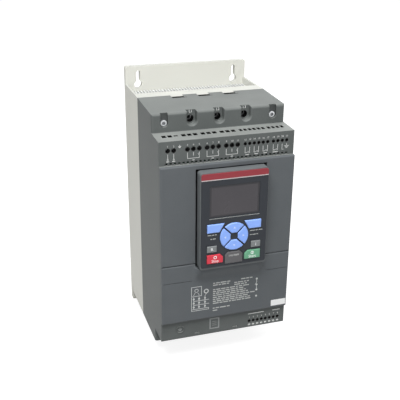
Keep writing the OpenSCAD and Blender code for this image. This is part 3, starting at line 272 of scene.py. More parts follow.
keyMould = {"grain": 0.5 * mm, "depth": 0.05, "edge": 1.0 * mm}
mouldedLooks = {                     # colour, sheen and grain of each moulded plastic, and its painted top tone where given
    "white_plastic": {"colour": (206, 206, 198), "pale": (215, 215, 208), "roughness": 0.5,
                      "grain": 0.7 * mm, "depth": 0.12, "edge": 0.6 * mm, "wear": 0.25,
                      "sheen": 0.4, "paintedTopTone": 0.45},
    "graphite_plastic": {"colour": (87, 91, 90), "pale": (124, 127, 126), "roughness": 0.52,
                         "grain": 0.5 * mm, "depth": 0.22, "edge": 0.5 * mm, "wear": 0.45,
                         "sheen": 0.14, "paintedTopTone": 0.2},
    "cover_plastic": {"colour": (88, 92, 95), "pale": (118, 121, 123), "roughness": 0.52,
                      "grain": 0.5 * mm, "depth": 0.22, "edge": 0.5 * mm, "wear": 0.45, "sheen": 0.14},
    "black_plastic": {"colour": (34, 35, 37), "pale": (62, 63, 66), "roughness": 0.45,
                      "grain": 0.6 * mm, "depth": 0.15, "edge": 0.4 * mm, "wear": 0.4, "sheen": 0.4},
    # near black: partly the blocks' own dark colour, partly painted shade for the holes in front of them
    "terminal_plastic": {"colour": (16, 17, 17), "pale": (38, 40, 39), "roughness": 0.55,
                         "grain": 0.5 * mm, "depth": 0.12, "edge": 0.3 * mm, "wear": 0.4, "sheen": 0.25},
    "keypad_plastic": {"colour": (94, 98, 100), "pale": (132, 136, 137), "roughness": 0.5,
                       "grain": 0.4 * mm, "depth": 0.15, "edge": 0.5 * mm, "wear": 0.45, "sheen": 0.3},
    "blue_key": {"colour": (133, 170, 246), "pale": (182, 207, 254), "roughness": 0.4,
                 "wear": 0.5, "sheen": 0.4, **keyMould},
    "grey_key": {"colour": (117, 121, 122), "pale": (148, 151, 151), "roughness": 0.46,
                 "wear": 0.4, "sheen": 0.35, **keyMould},
    "red_key": {"colour": (205, 46, 64), "pale": (228, 92, 106), "roughness": 0.4,
                "wear": 0.45, "sheen": 0.4, **keyMould},
    "green_key": {"colour": (94, 156, 122), "pale": (136, 186, 158), "roughness": 0.4,
                  "wear": 0.45, "sheen": 0.4, **keyMould},
    "dark_key": {"colour": (84, 83, 85), "pale": (124, 123, 125), "roughness": 0.46,
                 "wear": 0.45, "sheen": 0.3, **keyMould},
    "label_white": {"colour": (230, 231, 231), "pale": (240, 241, 241), "roughness": 0.4,
                    "grain": 0.6 * mm, "depth": 0.05, "edge": 0.25 * mm, "wear": 0.3, "sheen": 0.4},
}
mouldGrain = {                       # how clouds, sparks, rubbed edges and the painted top tone show in every moulding
    "cloud": 38 * mm, "detail": 3.0, "cloudTint": 0.35, "sparkTint": 0.3, "tint": 0.1,
    "wearLeast": 0.4, "topToneLeast": 0.5, "sparkRough": 0.3, "cloudRough": 0.16, "edgeGloss": 0.08,
    "rise": 0.3 * mm, "ior": 1.48,
}
# painted top light and shade: faces that look up are drawn towards this grey, lighter on the dark mouldings and
# greyer on the white one, more on the ledge
paintedTopTone = {"colour": (150, 153, 150), "ledgeFront": -133.5 * mm, "ledgeShare": 0.32}
housing = {                          # painted shade: what lies inside these boxes, in millimetres, is drawn dark
    "power": ((-72.2, -123.8, -140.2), (72.2, 0, 133.1)),
    "topWall": ((-72.2, -123.8, 133), (72.2, -40, 135.5)),
    "control": ((-72.2, -158.0, -123.2), (72.2, -129.8, 113.8)),
    "channels": [((x - 4.3, -131.6, 110), (x + 4.3, -127.5, 136)) for x in (-61, 61)],
    # painted shade over each latch's opening and line, and over the thin solid webs beside them, which makes the
    # openings look wider
    "latches": [((x - 6.8, -79.9, 134), (x + 6.8, -74.7, 136)) for x in (-30.5, 0, 30.5)],
    # colour of the painted shade, and its share on the screw channels' walls
    "dark": (9, 9, 9), "channelShade": 0.4,
}


def insideBox(axes, low, high):
    share = 1
    for axis, least, most in zip(axes, low, high):
        share = (axis > least * mm) * (axis < most * mm) * share
    return share


def housingShade(axes, facing):      # painted shade: how dark the housing's inside, slots, screw channels and latches are drawn
    left, right = (insideBox(axes, *channel) for channel in housing["channels"])
    slots = insideBox(axes, *housing["topWall"]) + insideBox(axes, *housing["control"])
    walls = slots + (left + right) * housing["channelShade"]
    shade = insideBox(axes, *housing["power"]) + walls * (1 - facing)
    for latch in housing["latches"]:
        shade = shade + insideBox(axes, *latch)
    return shade


def mouldedPlastic(name):            # spark-textured moulding, paler where edges rub, with a painted top tone and, on the housing, painted shade
    look = {**mouldGrain, **mouldedLooks[name]}
    finish, tree = newFinish(name)
    point = pointOf(tree)
    soft, near = roundedEdge(tree, look["edge"])
    cloud = grainOf(tree, point, look["cloud"])
    spark = grainOf(tree, point, look["grain"], look["detail"])
    cloudSwing = cloud - noiseMiddle
    sparkSwing = spark - noiseMiddle
    pale = tone(*look["pale"])
    tint = cloudSwing * look["cloudTint"] + sparkSwing * look["sparkTint"] + look["tint"]
    clouded = mixColour(tree, tint, tone(*look["colour"]), pale)
    colour = mixColour(tree, near * look["wear"] * (cloud + look["wearLeast"]), clouded, pale)
    axes = axesOf(tree, point)
    if "paintedTopTone" in look:               # painted top light and shade: what faces up is drawn towards a mid grey, most of all on the terminal ledge
        facing = clamped(tree, axesOf(tree, soft)[2])
        share = look["paintedTopTone"] + (axes[1] < paintedTopTone["ledgeFront"]) * paintedTopTone["ledgeShare"]
        topToned = facing * share * (cloud + look["topToneLeast"])
        colour = mixColour(tree, topToned, colour, tone(*paintedTopTone["colour"]))
    if name == "graphite_plastic":
        # painted shade in the housing's inside, slots, screw channels and latches
        colour = mixColour(tree, housingShade(axes, facing), colour, tone(*housing["dark"]))
    grainRough = sparkSwing * look["sparkRough"] + cloudSwing * look["cloudRough"]
    closeFinish(tree, {"Base Color": colour,
                       "Roughness": look["roughness"] + grainRough - near * look["edgeGloss"],
                       "Normal": bumpOf(tree, look, spark, soft),
                       "IOR": look["ior"], "Specular IOR Level": look["sheen"]})
    return finish


metalLooks = {
    "heatsink": {"colour": (228, 230, 230), "dull": (204, 206, 207), "roughness": 0.5,
                 "stretch": (1, 1, 0.02), "grain": 0.5 * mm, "edge": 0.2 * mm, "metallic": 0.4},
    "steel": {"colour": (206, 208, 211), "dull": (158, 160, 160), "roughness": 0.3,
              "stretch": (1, 1, 1), "grain": 1.1 * mm, "edge": 0.2 * mm, "metallic": 1.0},
    "screw_steel": {"colour": (214, 216, 219), "dull": (166, 168, 168), "roughness": 0.3,
                    "stretch": (1, 1, 1), "grain": 1.1 * mm, "edge": 0.2 * mm, "metallic": 1.0,
                    "driveShade": {       # painted shade where the four heads are hollow, in millimetres
                        "x": 61, "z": -3.55, "half": 126.65, "radius": 2.1, "front": -130.2,
                        "colour": (128, 130, 133)}},
    # drawn near black as painted shade for the clamp screws, which sit deep in their recesses
    "black_steel": {"colour": (34, 34, 36), "dull": (22, 22, 23), "roughness": 0.45,
                    "stretch": (1, 1, 1), "grain": 0.9 * mm, "edge": 0.2 * mm, "metallic": 0.8},
    "copper": {"colour": (218, 150, 104), "dull": (150, 96, 66), "roughness": 0.32,
               "stretch": (1, 1, 0.05), "grain": 0.8 * mm, "edge": 0.3 * mm, "metallic": 1.0},
}
metalGrain = {                       # how dull clouds and streaks show in every metal
    "cloud": 9 * mm, "cloudMiddle": 0.45, "cloudShare": 1.6, "streakDetail": 3.0, "streakShare": 0.8,
    "edgeShare": 0.5, "dullRough": 0.2, "depth": 0.12, "rise": 0.1 * mm,
}


def bareMetal(name):                 # drawn, rolled or plated metal with dull clouds
    look = {**metalGrain, **metalLooks[name]}
    finish, tree = newFinish(name)
    point = pointOf(tree)
    soft, near = roundedEdge(tree, look["edge"])
    cloud = grainOf(tree, point, look["cloud"])
    streak = grainOf(tree, pointOf(tree, stretch=look["stretch"]), look["grain"], look["streakDetail"])
    clouds = (cloud - look["cloudMiddle"]) * look["cloudShare"]
    streaks = (streak - noiseMiddle) * look["streakShare"]
    share = clamped(tree, clouds + streaks - near * look["edgeShare"])
    colour = mixColour(tree, share, tone(*look["colour"]), tone(*look["dull"]))
    if "driveShade" in look:              # painted shade: the hollow that the driver fits is drawn darker
        driveShade = look["driveShade"]
        across, deep, up = axesOf(tree, pointOf(tree, centre=(0, 0, driveShade["z"] * mm)))
        side = abs(across) - driveShade["x"] * mm
        rise = abs(up) - driveShade["half"] * mm
        hollow = (side * side + rise * rise < (driveShade["radius"] * mm) ** 2) * (deep > driveShade["front"] * mm)
        colour = mixColour(tree, hollow, colour, tone(*driveShade["colour"]))
    closeFinish(tree, {"Base Color": colour, "Roughness": look["roughness"] + share * look["dullRough"],
                       "Metallic": look["metallic"], "Normal": bumpOf(tree, look, streak, soft)})
    return finish


boardLook = {
    "resist": (18, 92, 58), "track": (34, 122, 78), "solder": (176, 178, 176),
    "trackPitch": 3.2 * mm, "trackGap": 0.35 * mm, "trackPitches": 5, "trackShift": 0.37, "trackRise": 0.5,
    "padPitch": 4.5 * mm, "padSize": 0.16, "padScatter": 0.35, "padGloss": 0.12,
    "roughness": 0.38, "coat": 0.3, "depth": 0.3, "rise": 0.1 * mm,
}


def circuitBoard():                  # solder resist over tracks, with tinned pads
    look = boardLook
    finish, tree = newFinish("circuit_board")
    point = pointOf(tree)
    tracks = tree.node("ShaderNodeTexBrick", {"offset": look["trackShift"]}, {
        "Vector": point, "Scale": 1.0, "Mortar Size": look["trackGap"],
        "Brick Width": look["trackPitches"] * look["trackPitch"], "Row Height": look["trackPitch"]}, "Fac")
    pads = tree.node("ShaderNodeTexVoronoi", {}, {"Vector": point, "Scale": 1 / look["padPitch"],
                                                  "Randomness": look["padScatter"]}, "Distance")
    pad = pads < look["padSize"]
    resist = mixColour(tree, tracks, tone(*look["resist"]), tone(*look["track"]))
    colour = mixColour(tree, pad, resist, tone(*look["solder"]))
    height = tracks * look["trackRise"] + pad
    closeFinish(tree, {"Base Color": colour, "Roughness": look["roughness"] - pad * look["padGloss"],
                       "Metallic": pad, "Normal": bumpOf(tree, look, height), "Coat Weight": look["coat"]})
    return finish


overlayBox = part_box("keypad_overlay")
overlayLook = {
    "film": (46, 49, 54), "pale": (62, 65, 70), "line": (190, 182, 182),
    "stripe": (137, 51, 58), "stripePale": (152, 74, 81), "stripeHeight": 6.4 * mm, "lineHeight": 1.0 * mm,
    "edge": 0.3 * mm, "velvet": 0.35 * mm, "cloud": 30 * mm,
    "cloudTint": 0.4, "velvetTint": 0.3, "edgeTint": 0.4, "stripeVelvet": 0.5, "stripeEdge": 0.3,
    "roughness": 0.52, "velvetRough": 0.2, "sheen": 0.2, "depth": 0.1, "rise": 0.15 * mm,
}


def overlayFilm():                   # printed film: red stripe, pale rule, fine velvet grain
    look = overlayLook
    finish, tree = newFinish("printed_overlay")
    point = pointOf(tree)
    up = axesOf(tree, point)[2]
    soft, near = roundedEdge(tree, look["edge"])
    velvet = grainOf(tree, point, look["velvet"])
    cloud = grainOf(tree, point, look["cloud"])
    stripeFoot = overlayBox[1][2] - look["stripeHeight"]
    worn = (cloud - noiseMiddle) * look["cloudTint"] + velvet * look["velvetTint"] + near * look["edgeTint"]
    film = mixColour(tree, worn, tone(*look["film"]), tone(*look["pale"]))
    redWorn = velvet * look["stripeVelvet"] + near * look["stripeEdge"]
    red = mixColour(tree, redWorn, tone(*look["stripe"]), tone(*look["stripePale"]))
    ruled = mixColour(tree, up > stripeFoot - look["lineHeight"], film, tone(*look["line"]))
    colour = mixColour(tree, up > stripeFoot, ruled, red)
    rough = look["roughness"] + (velvet - noiseMiddle) * look["velvetRough"]
    closeFinish(tree, {"Base Color": colour, "Roughness": rough, "Specular IOR Level": look["sheen"],
                       "Normal": bumpOf(tree, look, velvet, soft)})
    return finish


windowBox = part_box("display_window")
windowLook = {
    "glass": (46, 45, 49), "screen": (66, 63, 67), "border": 2.0 * mm,
    "dot": 0.45 * mm, "dotDetail": 0.0, "dotTint": 0.25, "haze": 26 * mm, "hazeTint": 0.3,
    "level": 0.82, "fade": 4,        # the screen dims with height, per metre
    "roughness": 0.22, "hazeRough": 0.08, "sheen": 0.3, "coat": 0.12, "coatRoughness": 0.06,
}


def displayGlass():                  # smoked window with the sleeping screen behind it
    look = windowLook
    finish, tree = newFinish("display_window")
    middle = tuple(middleOf(windowBox, axis) for axis in range(3))
    axes = axesOf(tree, pointOf(tree, centre=middle))
    across, up = axes[0], axes[2]
    halfWide = (windowBox[1][0] - windowBox[0][0]) / 2 - look["border"]
    halfHigh = (windowBox[1][2] - windowBox[0][2]) / 2 - look["border"]
    screen = (abs(across) < halfWide) * (abs(up) < halfHigh)
    dots = grainOf(tree, pointOf(tree), look["dot"], look["dotDetail"])
    haze = grainOf(tree, pointOf(tree), look["haze"])
    mottle = (dots - noiseMiddle) * look["dotTint"] + (haze - noiseMiddle) * look["hazeTint"]
    share = screen * (look["level"] + mottle - up * look["fade"])
    colour = mixColour(tree, share, tone(*look["glass"]), tone(*look["screen"]))
    closeFinish(tree, {"Base Color": colour, "Roughness": look["roughness"] + haze * look["hazeRough"],
                       "Specular IOR Level": look["sheen"], "Coat Roughness": look["coatRoughness"],
                       "Coat Weight": look["coat"]})
    return finish


inkLook = {
    "speck": 0.6 * mm, "detail": 3.0, "speckMiddle": 0.45, "speckShare": 1.2,
    "cloud": 12 * mm, "cloudShare": 0.8, "roughness": 0.5, "speckRough": 0.2, "depth": 0.1, "rise": 0.05 * mm,
}


def printInk(name, colour, thin):    # screen-printed ink that is a little thin in places
    look = inkLook
    finish, tree = newFinish(name)
    point = pointOf(tree)
    speck = grainOf(tree, point, look["speck"], look["detail"])
    cloud = grainOf(tree, point, look["cloud"])
    specks = (speck - look["speckMiddle"]) * look["speckShare"]
    share = clamped(tree, specks + (cloud - noiseMiddle) * look["cloudShare"])
    rough = look["roughness"] + (speck - noiseMiddle) * look["speckRough"]
    closeFinish(tree, {"Base Color": mixColour(tree, share, tone(*colour), tone(*thin)),
                       "Roughness": rough, "Normal": bumpOf(tree, look, speck)})
    return finish


finishes = {name: mouldedPlastic(name) for name in mouldedLooks}
finishes.update({name: bareMetal(name) for name in metalLooks})
finishes["circuit_board"] = circuitBoard()
finishes["display"] = displayGlass()
# the clamp screws take the near-black steel, as painted shade deep in their recesses
ownFinish = {"keypad_overlay": overlayFilm(), "blank_label": finishes["label_white"],
             "clamp_screws": finishes["black_steel"], "housing_screws": finishes["screw_steel"]}

for part in frame["record"]["subparts"]:
    node = frame["nodes"][part["node"]]
    finish = ownFinish.get(part["node"], finishes[part["material_slot"]])
    for place in node.material_slots:
        place.material = finish

print("stage: print")

inkColours = {                       # each ink where it is full and where it is thin
    "white": ((226, 228, 226), (190, 192, 190)),
    "pale": ((176, 179, 176), (140, 143, 141)),
    "plan": ((192, 195, 193), (158, 161, 160)),
    "terminal": ((202, 204, 202), (168, 170, 168)),
    "faint": ((134, 137, 137), (110, 113, 113)),
    "key": ((244, 246, 246), (222, 225, 226)),
    "sky": ((196, 213, 250), (176, 198, 246)),
}
ink = {name: printInk(name + "_ink", *pair) for name, pair in inkColours.items()}
inkThickness = 0.08 * mm
inkSink = 0.03 * mm                  # how far the ink bites into its face
inkMerge = 0.001 * mm
discSides = 28
typeSize = 1.4                       # the font's size for a letter of height 1
typeSteps = 3                        # steps in each curve of a letter
upright = math.pi / 2                # turns what lies flat to face the front


def startPrint(name):                # an empty mesh in edit mode, which strokes are drawn into
    pickNone()
    bpy.ops.mesh.primitive_plane_add(size=mm)
    piece = bpy.context.object
    piece.name = name
    bpy.ops.object.mode_set(mode="EDIT")
    bpy.ops.mesh.select_mode(type="EDGE")
    bpy.ops.mesh.select_all(action="SELECT")
    bpy.ops.mesh.delete(type="VERT")
    return piece


def pickEdge(spot):                  # selects the one edge of the print nearest to a spot
    piece = bpy.context.object
    bpy.ops.mesh.select_all(action="DESELECT")
    bpy.ops.object.mode_set(mode="OBJECT")
    points = piece.data.vertices

    def away(edge):
        first, second = (points[index].co for index in edge.vertices)
        return ((first + second) / 2 - spot).length
    found = min(piece.data.edges, key=away)
    found.select = True
    for index in found.vertices:
        points[index].select = True
    bpy.ops.object.mode_set(mode="EDIT")


def pull(step):                      # draws the selected edge out into a strip
    bpy.ops.mesh.extrude_region_move(TRANSFORM_OT_translate={"value": step})


def stroke(spots, width, face, lift=0):          # a printed line through spots, x and z in millimetres
    wide = width * mm
    spots = [Vector((x * mm, face + inkSink - lift * mm, z * mm)) for x, z in spots]
    bpy.ops.mesh.select_all(action="DESELECT")
    bpy.ops.mesh.primitive_plane_add(size=wide, location=spots[0], rotation=(upright, 0, 0))
    for here, there in zip(spots, spots[1:]):
        along = (there - here).normalized()
        pickEdge(here + along * wide / 2)
        pull(there - here - along * wide)
        pull(along * wide)


def bar(left, right, z, width, face, lift=0):    # a level stroke
    stroke([(left, z), (right, z)], width, face, lift)


def post(x, start, end, width, face):            # an upright stroke
    stroke([(x, start), (x, end)], width, face)


def frameBox(left, foot, right, top, width, face):
    stroke([(left, foot), (left, top), (right, top), (right, foot), (left + width, foot)], width, face)


def disc(x, z, radius, face, rim=None, lift=0):  # a printed dot, or a ring where a rim is given
    bpy.ops.mesh.select_all(action="DESELECT")
    bpy.ops.mesh.primitive_circle_add(vertices=discSides, radius=radius * mm, fill_type="NGON",
                                      location=(x * mm, face + inkSink - lift * mm, z * mm),
                                      rotation=(upright, 0, 0))
    if rim:
        bpy.ops.mesh.inset(thickness=rim * mm)
        bpy.ops.mesh.delete(type="FACE")


def word(text, height, x, z, face):  # a word as a flat mesh, centred on x, z
    pickNone()
    bpy.ops.object.text_add()
    made = bpy.context.object
    made.data.body = text
    made.data.size = height * mm * typeSize
    made.data.align_x = "CENTER"
    made.data.align_y = "CENTER"
    made.data.resolution_u = typeSteps
    bpy.ops.object.convert(target="MESH")
    made = bpy.context.object
    made.rotation_euler = (upright, 0, 0)
    made.location = (x * mm, face + inkSink, z * mm)
    bpy.ops.object.transform_apply(location=True, rotation=True, scale=True)
    return made


def numberRow(xs, height, z, face):
    return [word(str(count), height, x, z, face) for count, x in enumerate(xs, 1)]


def placesAlong(first, pitch, count):
    return [first + i * pitch for i in range(count)]


def finishPrint(piece, words, colour, body):   # joins words in, gives the ink its thickness
    bpy.ops.object.mode_set(mode="OBJECT")
    pickNone()
    for made in words:
        made.select_set(True)
    piece.select_set(True)
    bpy.context.view_layer.objects.active = piece
    if words:
        bpy.ops.object.join()
    bpy.ops.object.mode_set(mode="EDIT")
    bpy.ops.mesh.select_all(action="SELECT")
    bpy.ops.mesh.remove_doubles(threshold=inkMerge)
    bpy.ops.mesh.normals_make_consistent(inside=False)
    bpy.ops.object.mode_set(mode="OBJECT")
    for face in piece.data.polygons:
        if face.normal.y > 0:        # every flat face looks out of the panel before it thickens
            face.flip()
    skin = piece.modifiers.new("inkSkin", "SOLIDIFY")
    skin.thickness = inkThickness
    skin.offset = 1
    bpy.ops.object.modifier_apply(modifier="inkSkin")
    piece.data.materials.clear()
    piece.data.materials.append(ink[colour])
    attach(piece, body)


# how many bars, and then shares of the sign's size
earth = {"bars": 3, "stem": 0.5, "half": 0.5, "taper": 0.16, "step": 0.25}


def earthSign(x, top, size, width, face):
    post(x, top, top - size * earth["stem"], width, face)
    for count in range(earth["bars"]):
        half = size * (earth["half"] - earth["taper"] * count)
        bar(x - half, x + half, top - size * (earth["stem"] + earth["step"] * count), width, face)


# terminal row on the control section, in millimetres apart from its face
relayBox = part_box("relay_terminals")
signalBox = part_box("signal_terminals")
row = {
    "face": relayBox[0][1],          # the blocks' collars end flush with the face
    "relayPitch": 6.35, "signalPitch": 5.08, "groupStep": 21.1, "blockStep": 32.0,
    "groups": 4, "relays": 3, "signals": 6, "lastSignals": 4,
    "numberZ": 107.4, "numberHeight": 2.0, "legTop": 98.9, "legFoot": 92.8, "line": 0.5,
    "labelZ": 90.7, "labelLine": 0.8, "labelInset": 1,
    "supplyFoot": 94.5, "supplyRing": (93.2, 0.9, 0.4),      # z, radius and rim of the ring
    "supplyLabel": 1.1, "supplyRise": 0.6, "supplyLine": 0.9,
    "earthTop": 108.2, "earthSize": 2.8, "earthLine": 0.6, "lastFoot": 1.6, "lastEarth": 4.6,
}
row["relayX"] = relayBox[0][0] / mm + row["relayPitch"] / 2
row["signalX"] = signalBox[0][0] / mm + row["signalPitch"] / 2
changeover = {"arm": 2.4, "rest": 3.6, "tipOut": 1.5, "tip": 4.4, "common": 3.0, "label": 0.9}
switch = {"stub": 1.2, "tip": 1.5, "end": 1.0}


def changeoverSign(places, face):    # common contact in the middle, one leg each side
    look, line = changeover, row["line"]
    top, foot = row["legTop"], row["legFoot"]
    left, middle, right = places
    arm = foot + look["arm"]
    stroke([(left, top), (left, foot), (right, foot), (right, arm)], line, face)
    post(right, foot + look["rest"], top, line, face)
    stroke([(right, arm), (right - look["tipOut"], foot + look["tip"])], line, face)
    post(middle, top, foot + look["common"], line, face)
    bar(middle - look["label"], middle + look["label"], row["labelZ"], row["labelLine"], face)


def switchSign(left, right, face):   # a switch between two terminals
    top, foot, line = row["legTop"], row["legFoot"], row["line"]
    hinge = left + switch["stub"]
    stroke([(left, top), (left, foot), (hinge, foot)], line, face)
    stroke([(hinge, foot), (right - switch["stub"], foot + switch["tip"])], line, face)
    stroke([(right - switch["end"], foot), (right, foot), (right, top)], line, face)


def makeTerminalPrint():
    face, line, labelZ = row["face"], row["line"], row["labelZ"]
    firsts = placesAlong(row["relayX"], row["groupStep"], row["groups"])
    supply, *relays = [placesAlong(first, row["relayPitch"], row["relays"]) for first in firsts]
    signals = placesAlong(row["signalX"], row["signalPitch"], row["signals"])
    last = placesAlong(row["signalX"] + row["blockStep"], row["signalPitch"], row["lastSignals"])
    numbered = supply[:2] + sum(relays, []) + signals + last
    words = numberRow(numbered, row["numberHeight"], row["numberZ"], face)
    piece = startPrint("terminalPrint")
    ringZ, ringRadius, ringRim = row["supplyRing"]
    for x in supply[:2]:
        post(x, row["legTop"], row["supplyFoot"], line, face)
        disc(x, ringZ, ringRadius, face, ringRim)
        bar(x - row["supplyLabel"], x + row["supplyLabel"], labelZ + row["supplyRise"],
            row["supplyLine"], face)
    earthSign(supply[2], row["earthTop"], row["earthSize"], row["earthLine"], face)
    for group in relays:
        changeoverSign(group, face)
    for left, right in zip(signals[0::2], signals[1::2]):
        switchSign(left, right, face)
        bar(left + row["labelInset"], right - row["labelInset"], labelZ, row["labelLine"], face)
    switchSign(last[0], last[1], face)
    bar(last[0], last[1], labelZ, row["labelLine"], face)
    stroke([(last[2], row["legTop"]), (last[2], row["legFoot"]), (last[2] + row["lastFoot"], row["legFoot"])],
           line, face)
    earthSign(last[3], row["legTop"], row["lastEarth"], line, face)
    finishPrint(piece, words, "terminal", "starter")


# phase marks above the driver holes, on the floor of each recess
phaseMarks = {"face": -124.0 * mm, "x": (-30.0, 0.5, 31.0), "height": 2.9, "rows": {"L": 132.0, "T": -139.2}}


def makePhaseMarks():
    look = phaseMarks
    words = [word("%s%d" % (letter, count), look["height"], x, z, look["face"])
             for letter, z in look["rows"].items() for count, x in enumerate(look["x"], 1)]
    finishPrint(startPrint("phaseMarks"), words, "white", "starter")


# marks round the lower terminal row, in millimetres apart from its face and depths
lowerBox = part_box("lower_terminals")
bossStep = 0.6 * mm                  # the boss's rim stands this far before the face, its floor behind it
lower = {
    "face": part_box("front_housing")[0][1] + bossStep,
    "pitch": 5.08, "count": 8, "numberZ": -111.2, "numberHeight": 1.9,
    "footZ": -120.9, "footHalf": 0.5, "footSteps": (-0.8, 0.8), "footLine": 1.0,
    "groupZ": -106.4, "groups": ((0, 3), (6, 7)), "groupBefore": 1.4, "groupAfter": 2.2, "groupLine": 0.8,
    "pockets": (-33.0, 13.0), "pocketZ": -120.4, "pocketHalf": 2.7, "pocketLine": 0.9, "pocketDeep": 1.0 * mm,
    "square": (-17.4, -117.6, -7.0, -104.8), "squareLine": 1.5,
    "squareRows": (-108.8, -111.2, -113.6), "rowInset": 3, "rowLine": 0.6,
    "boss": (-53.2, -110.1), "bossSign": 4.0, "bossLine": 0.8,
}
lower["lastX"] = lowerBox[1][0] / mm - lower["pitch"] / 2


def makeLowerPrint():
    look, face = lower, lower["face"]
    xs = placesAlong(look["lastX"], -look["pitch"], look["count"])[::-1]
    words = numberRow(xs, look["numberHeight"], look["numberZ"], face)
    piece = startPrint("lowerPrint")
    for x in xs:
        for step in look["footSteps"]:
            post(x + step, look["footZ"] - look["footHalf"], look["footZ"] + look["footHalf"],
                 look["footLine"], face)
    for first, last in look["groups"]:
        bar(xs[first] - look["groupBefore"], xs[last] + look["groupAfter"], look["groupZ"],
            look["groupLine"], face)
    for x in look["pockets"]:
        bar(x - look["pocketHalf"], x + look["pocketHalf"], look["pocketZ"], look["pocketLine"],
            face + look["pocketDeep"])
    finishPrint(piece, words, "white", "starter")
    piece = startPrint("lowerMarks")
    left, foot, right, top = look["square"]
    frameBox(left, foot, right, top, look["squareLine"], face)
    for z in look["squareRows"]:
        bar(left + look["rowInset"], right - look["rowInset"], z, look["rowLine"], face)
    earthSign(*look["boss"], look["bossSign"], look["bossLine"], face + bossStep)
    finishPrint(piece, [], "faint", "starter")


# wiring plan on the lower cover: three phases on the left, rows of small type beside them
plan = {
    "face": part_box("upper_cover")[0][1],         # both covers' front, without the chin
    "phaseX": (-38.4, -32.2, -25.2), "line": 0.6,
    "over": 0.02,                    # lifts what crosses a line
    "box": (-41.0, -69.4, -29.4, -57.6),         # left, foot, right and top
    "boxRing": (-35.2, -62.4, 2.3, 0.6),         # x, z, radius and rim
    "boxLegFoot": 1.4, "boxLegTop": 4.0, "boxLegLean": 1.6,
    "motor": (-23.8, -64.6, 2.9, 1.1), "leadGap": 0.2, "leadEnd": 0.6,
    "phaseTop": -70.6, "phaseFoot": -86.0,
    "dotRows": (-73.0, -78.2, -83.4), "dot": 1.15, "barRows": (-75.6, -80.8), "barEnd": -20.6,
    "foot": (-41.0, -88.2, -20.8, -86.2), "spineGap": 1,
    "sideX": 36.6, "sideDots": (-58.4, -66.0, -72.6, -80.8), "sideDot": 1.2, "sideGap": 3.0,
    "sideArm": ((-0.2, 2.6), (-2.0, 0.6)),
}
smallType = {
    "rowStep": 2.5, "height": 1.25, "gap": 1.0, "shortest": 1.5,
    "wordLengths": (5.2, 3.1, 6.4, 2.4, 4.3, 7.0, 3.6, 5.5, 2.8, 4.8),
    "title": (17.5, 31.2, -55.6),    # left end, right end and row
    "blocks": (                      # left end, right end, top row and rows of each block of type
        (-15.8, 5.6, -56.2, 2),
        (9.5, 27.0, -59.2, 2),
        (-15.8, 29.5, -64.4, 4),
        (-15.8, 35.0, -74.6, 4),
        (-15.8, 5.0, -88.4, 1),
        (-15.8, -8.2, -91.4, 1),
    ),
    "shortRag": (0, 2.5), "longRag": (0, 9.0, 6.0, 3.0),     # how far each row ends before the right end
}


def typeRow(left, right, z, start, height, face, size=1):    # small type, drawn as words without letters
    lengths = smallType["wordLengths"]
    x = left
    count = start
    while x < right - smallType["shortest"] * size:
        length = min(lengths[count % len(lengths)] * size, right - x)
        bar(x + height / 2, x + max(length - height / 2, height), z, height, face)
        x += length + smallType["gap"] * size
        count += 1
    return count


def makeWiringPlan():
    face, line, over = plan["face"], plan["line"], plan["over"]
    piece = startPrint("wiringPlan")
    left, middle, right = plan["phaseX"]
    for x in plan["phaseX"]:
        post(x, plan["phaseTop"], plan["phaseFoot"], line, face)
        for z in plan["dotRows"]:
            disc(x, z, plan["dot"], face, lift=2 * over)
    for z in plan["barRows"]:
        bar(left, plan["barEnd"], z, line, face, over)
    boxLeft, boxFoot = plan["box"][:2]
    frameBox(*plan["box"], line, face)
    disc(*plan["boxRing"][:3], face, plan["boxRing"][3])
    legFoot, legTop, lean = boxFoot + plan["boxLegFoot"], boxFoot + plan["boxLegTop"], plan["boxLegLean"]
    stroke([(left, legFoot), (left + lean, legTop)], line, face)
    stroke([(middle, legFoot), (middle - lean, legTop)], line, face)
    motorX, motorZ, motorR, motorRim = plan["motor"]
    disc(motorX, motorZ, motorR, face, motorRim)
    leadTop, leadFoot = motorZ - motorR - plan["leadGap"], plan["phaseTop"] + plan["leadEnd"]
    stroke([(motorX, leadTop), (right, leadFoot)], line, face)
    frameBox(*plan["foot"], line, face)
    post(boxLeft, boxFoot - plan["spineGap"], plan["foot"][3] + plan["spineGap"], line, face)
    side = plan["sideX"]
    first, second, third = plan["sideDots"][:3]
    post(side, first, second + plan["sideGap"], line, face)
    stroke([(side + x, second + z) for x, z in plan["sideArm"]], line, face)
    post(side, second, third, line, face)
    for z in plan["sideDots"]:
        disc(side, z, plan["sideDot"], face, lift=2 * over)
    finishPrint(piece, [], "plan", "starter")


def makeCoverType():
    look, face = smallType, plan["face"]
    piece = startPrint("coverType")
    count = typeRow(*look["title"], 0, look["height"], face)
    for left, right, z, rows in look["blocks"]:
        rag = look["longRag"] if rows > len(look["shortRag"]) else look["shortRag"]
        for line in range(rows):
            count = typeRow(left, right - rag[line], z - line * look["rowStep"], count, look["height"], face)
    finishPrint(piece, [], "pale", "starter")


# print on the keypad, from the overlay's middle and a level this drop below its top
keypadPrint = {
    "face": overlayBox[0][1], "drop": 55.1,
    "rule": (-28.0, 28.0, 4.1), "ruleLine": 0.45,            # left end, right end and rise of each row
    "type": ((-30.0, -19.6, -14.6), (-26.8, -19.6, -19.3), (18.2, 33.0, -14.9), (18.2, 27.6, -19.8)),
    "typeHeight": 0.9, "typeSize": 0.8,
}


def makeKeypadPrint():
    look, face = keypadPrint, keypadPrint["face"]
    x = middleOf(overlayBox, 0) / mm
    z = overlayBox[1][2] / mm - look["drop"]
    piece = startPrint("keypadPrint")
    left, right, rise = look["rule"]
    bar(x + left, x + right, z + rise, look["ruleLine"], face)
    count = 0
    for left, right, rise in look["type"]:
        count = typeRow(x + left, x + right, z + rise, count, look["typeHeight"], face, look["typeSize"])
    finishPrint(piece, [], "pale", "keypad")


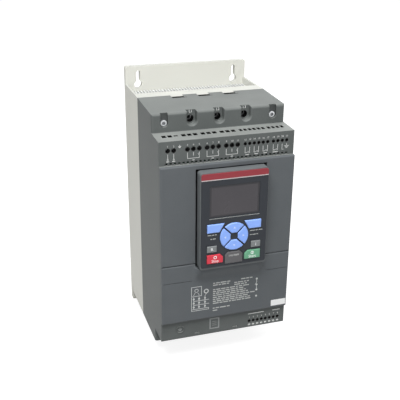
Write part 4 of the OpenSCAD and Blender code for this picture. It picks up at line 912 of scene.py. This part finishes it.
keyMarks = {                         # word on each key, its height, its lift from the key's middle, its ink
    "stop_key": ("Stop", 3.2, -2.3, "key"),
    "start_key": ("Start", 3.2, -2.3, "key"),
    "middle_key": ("LOC/REM", 2.0, 2.6, "terminal"),
    "remote_key": ("R", 3.6, 0.0, "key"),
    "info_key": ("i", 3.9, 0.0, "key"),
}
runSign = {"lift": 2.0, "radius": 1.9, "rims": {"stop_key": 0.7, "start_key": 0.5},
           "barHalf": 0.9, "barLine": 0.6}
arrow = {
    "sides": 3, "size": 1.6, "inset": 0.3, "radius": 10.2,
    "turns": {"nav_up_key": 0, "nav_right_key": 90, "nav_down_key": 180, "nav_left_key": 270},
}


def keyMiddle(key):
    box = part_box(key)
    return middleOf(box, 0) / mm, middleOf(box, 2) / mm, box[0][1]


def makeKeyMarks():
    for key, (text, height, lift, colour) in keyMarks.items():
        x, z, face = keyMiddle(key)
        words = [word(text, height, x, z + lift, face)]
        piece = startPrint(key + "_mark")
        signZ = z + runSign["lift"]
        if key in runSign["rims"]:
            disc(x, signZ, runSign["radius"], face, runSign["rims"][key])
        if key == "start_key":
            post(x, signZ - runSign["barHalf"], signZ + runSign["barHalf"], runSign["barLine"], face)
        finishPrint(piece, words, colour, key)


def makeArrows():
    ringX = sum(keyMiddle(key)[0] for key in ("nav_left_key", "nav_right_key")) / 2
    ringZ = sum(keyMiddle(key)[1] for key in ("nav_up_key", "nav_down_key")) / 2
    for key, turn in arrow["turns"].items():
        face = keyMiddle(key)[2]
        lean = math.radians(turn)
        x = ringX + arrow["radius"] * math.sin(lean)
        z = ringZ + arrow["radius"] * math.cos(lean)
        piece = startPrint(key + "_mark")
        bpy.ops.mesh.primitive_circle_add(vertices=arrow["sides"], radius=arrow["size"] * mm,
                                          fill_type="NGON", location=(x * mm, face + inkSink, z * mm),
                                          rotation=(upright, lean, 0))
        bpy.ops.mesh.inset(thickness=arrow["inset"] * mm)
        finishPrint(piece, [], "sky", key)


makeTerminalPrint()
makePhaseMarks()
makeLowerPrint()
makeWiringPlan()
makeCoverType()
makeKeypadPrint()
makeKeyMarks()
makeArrows()
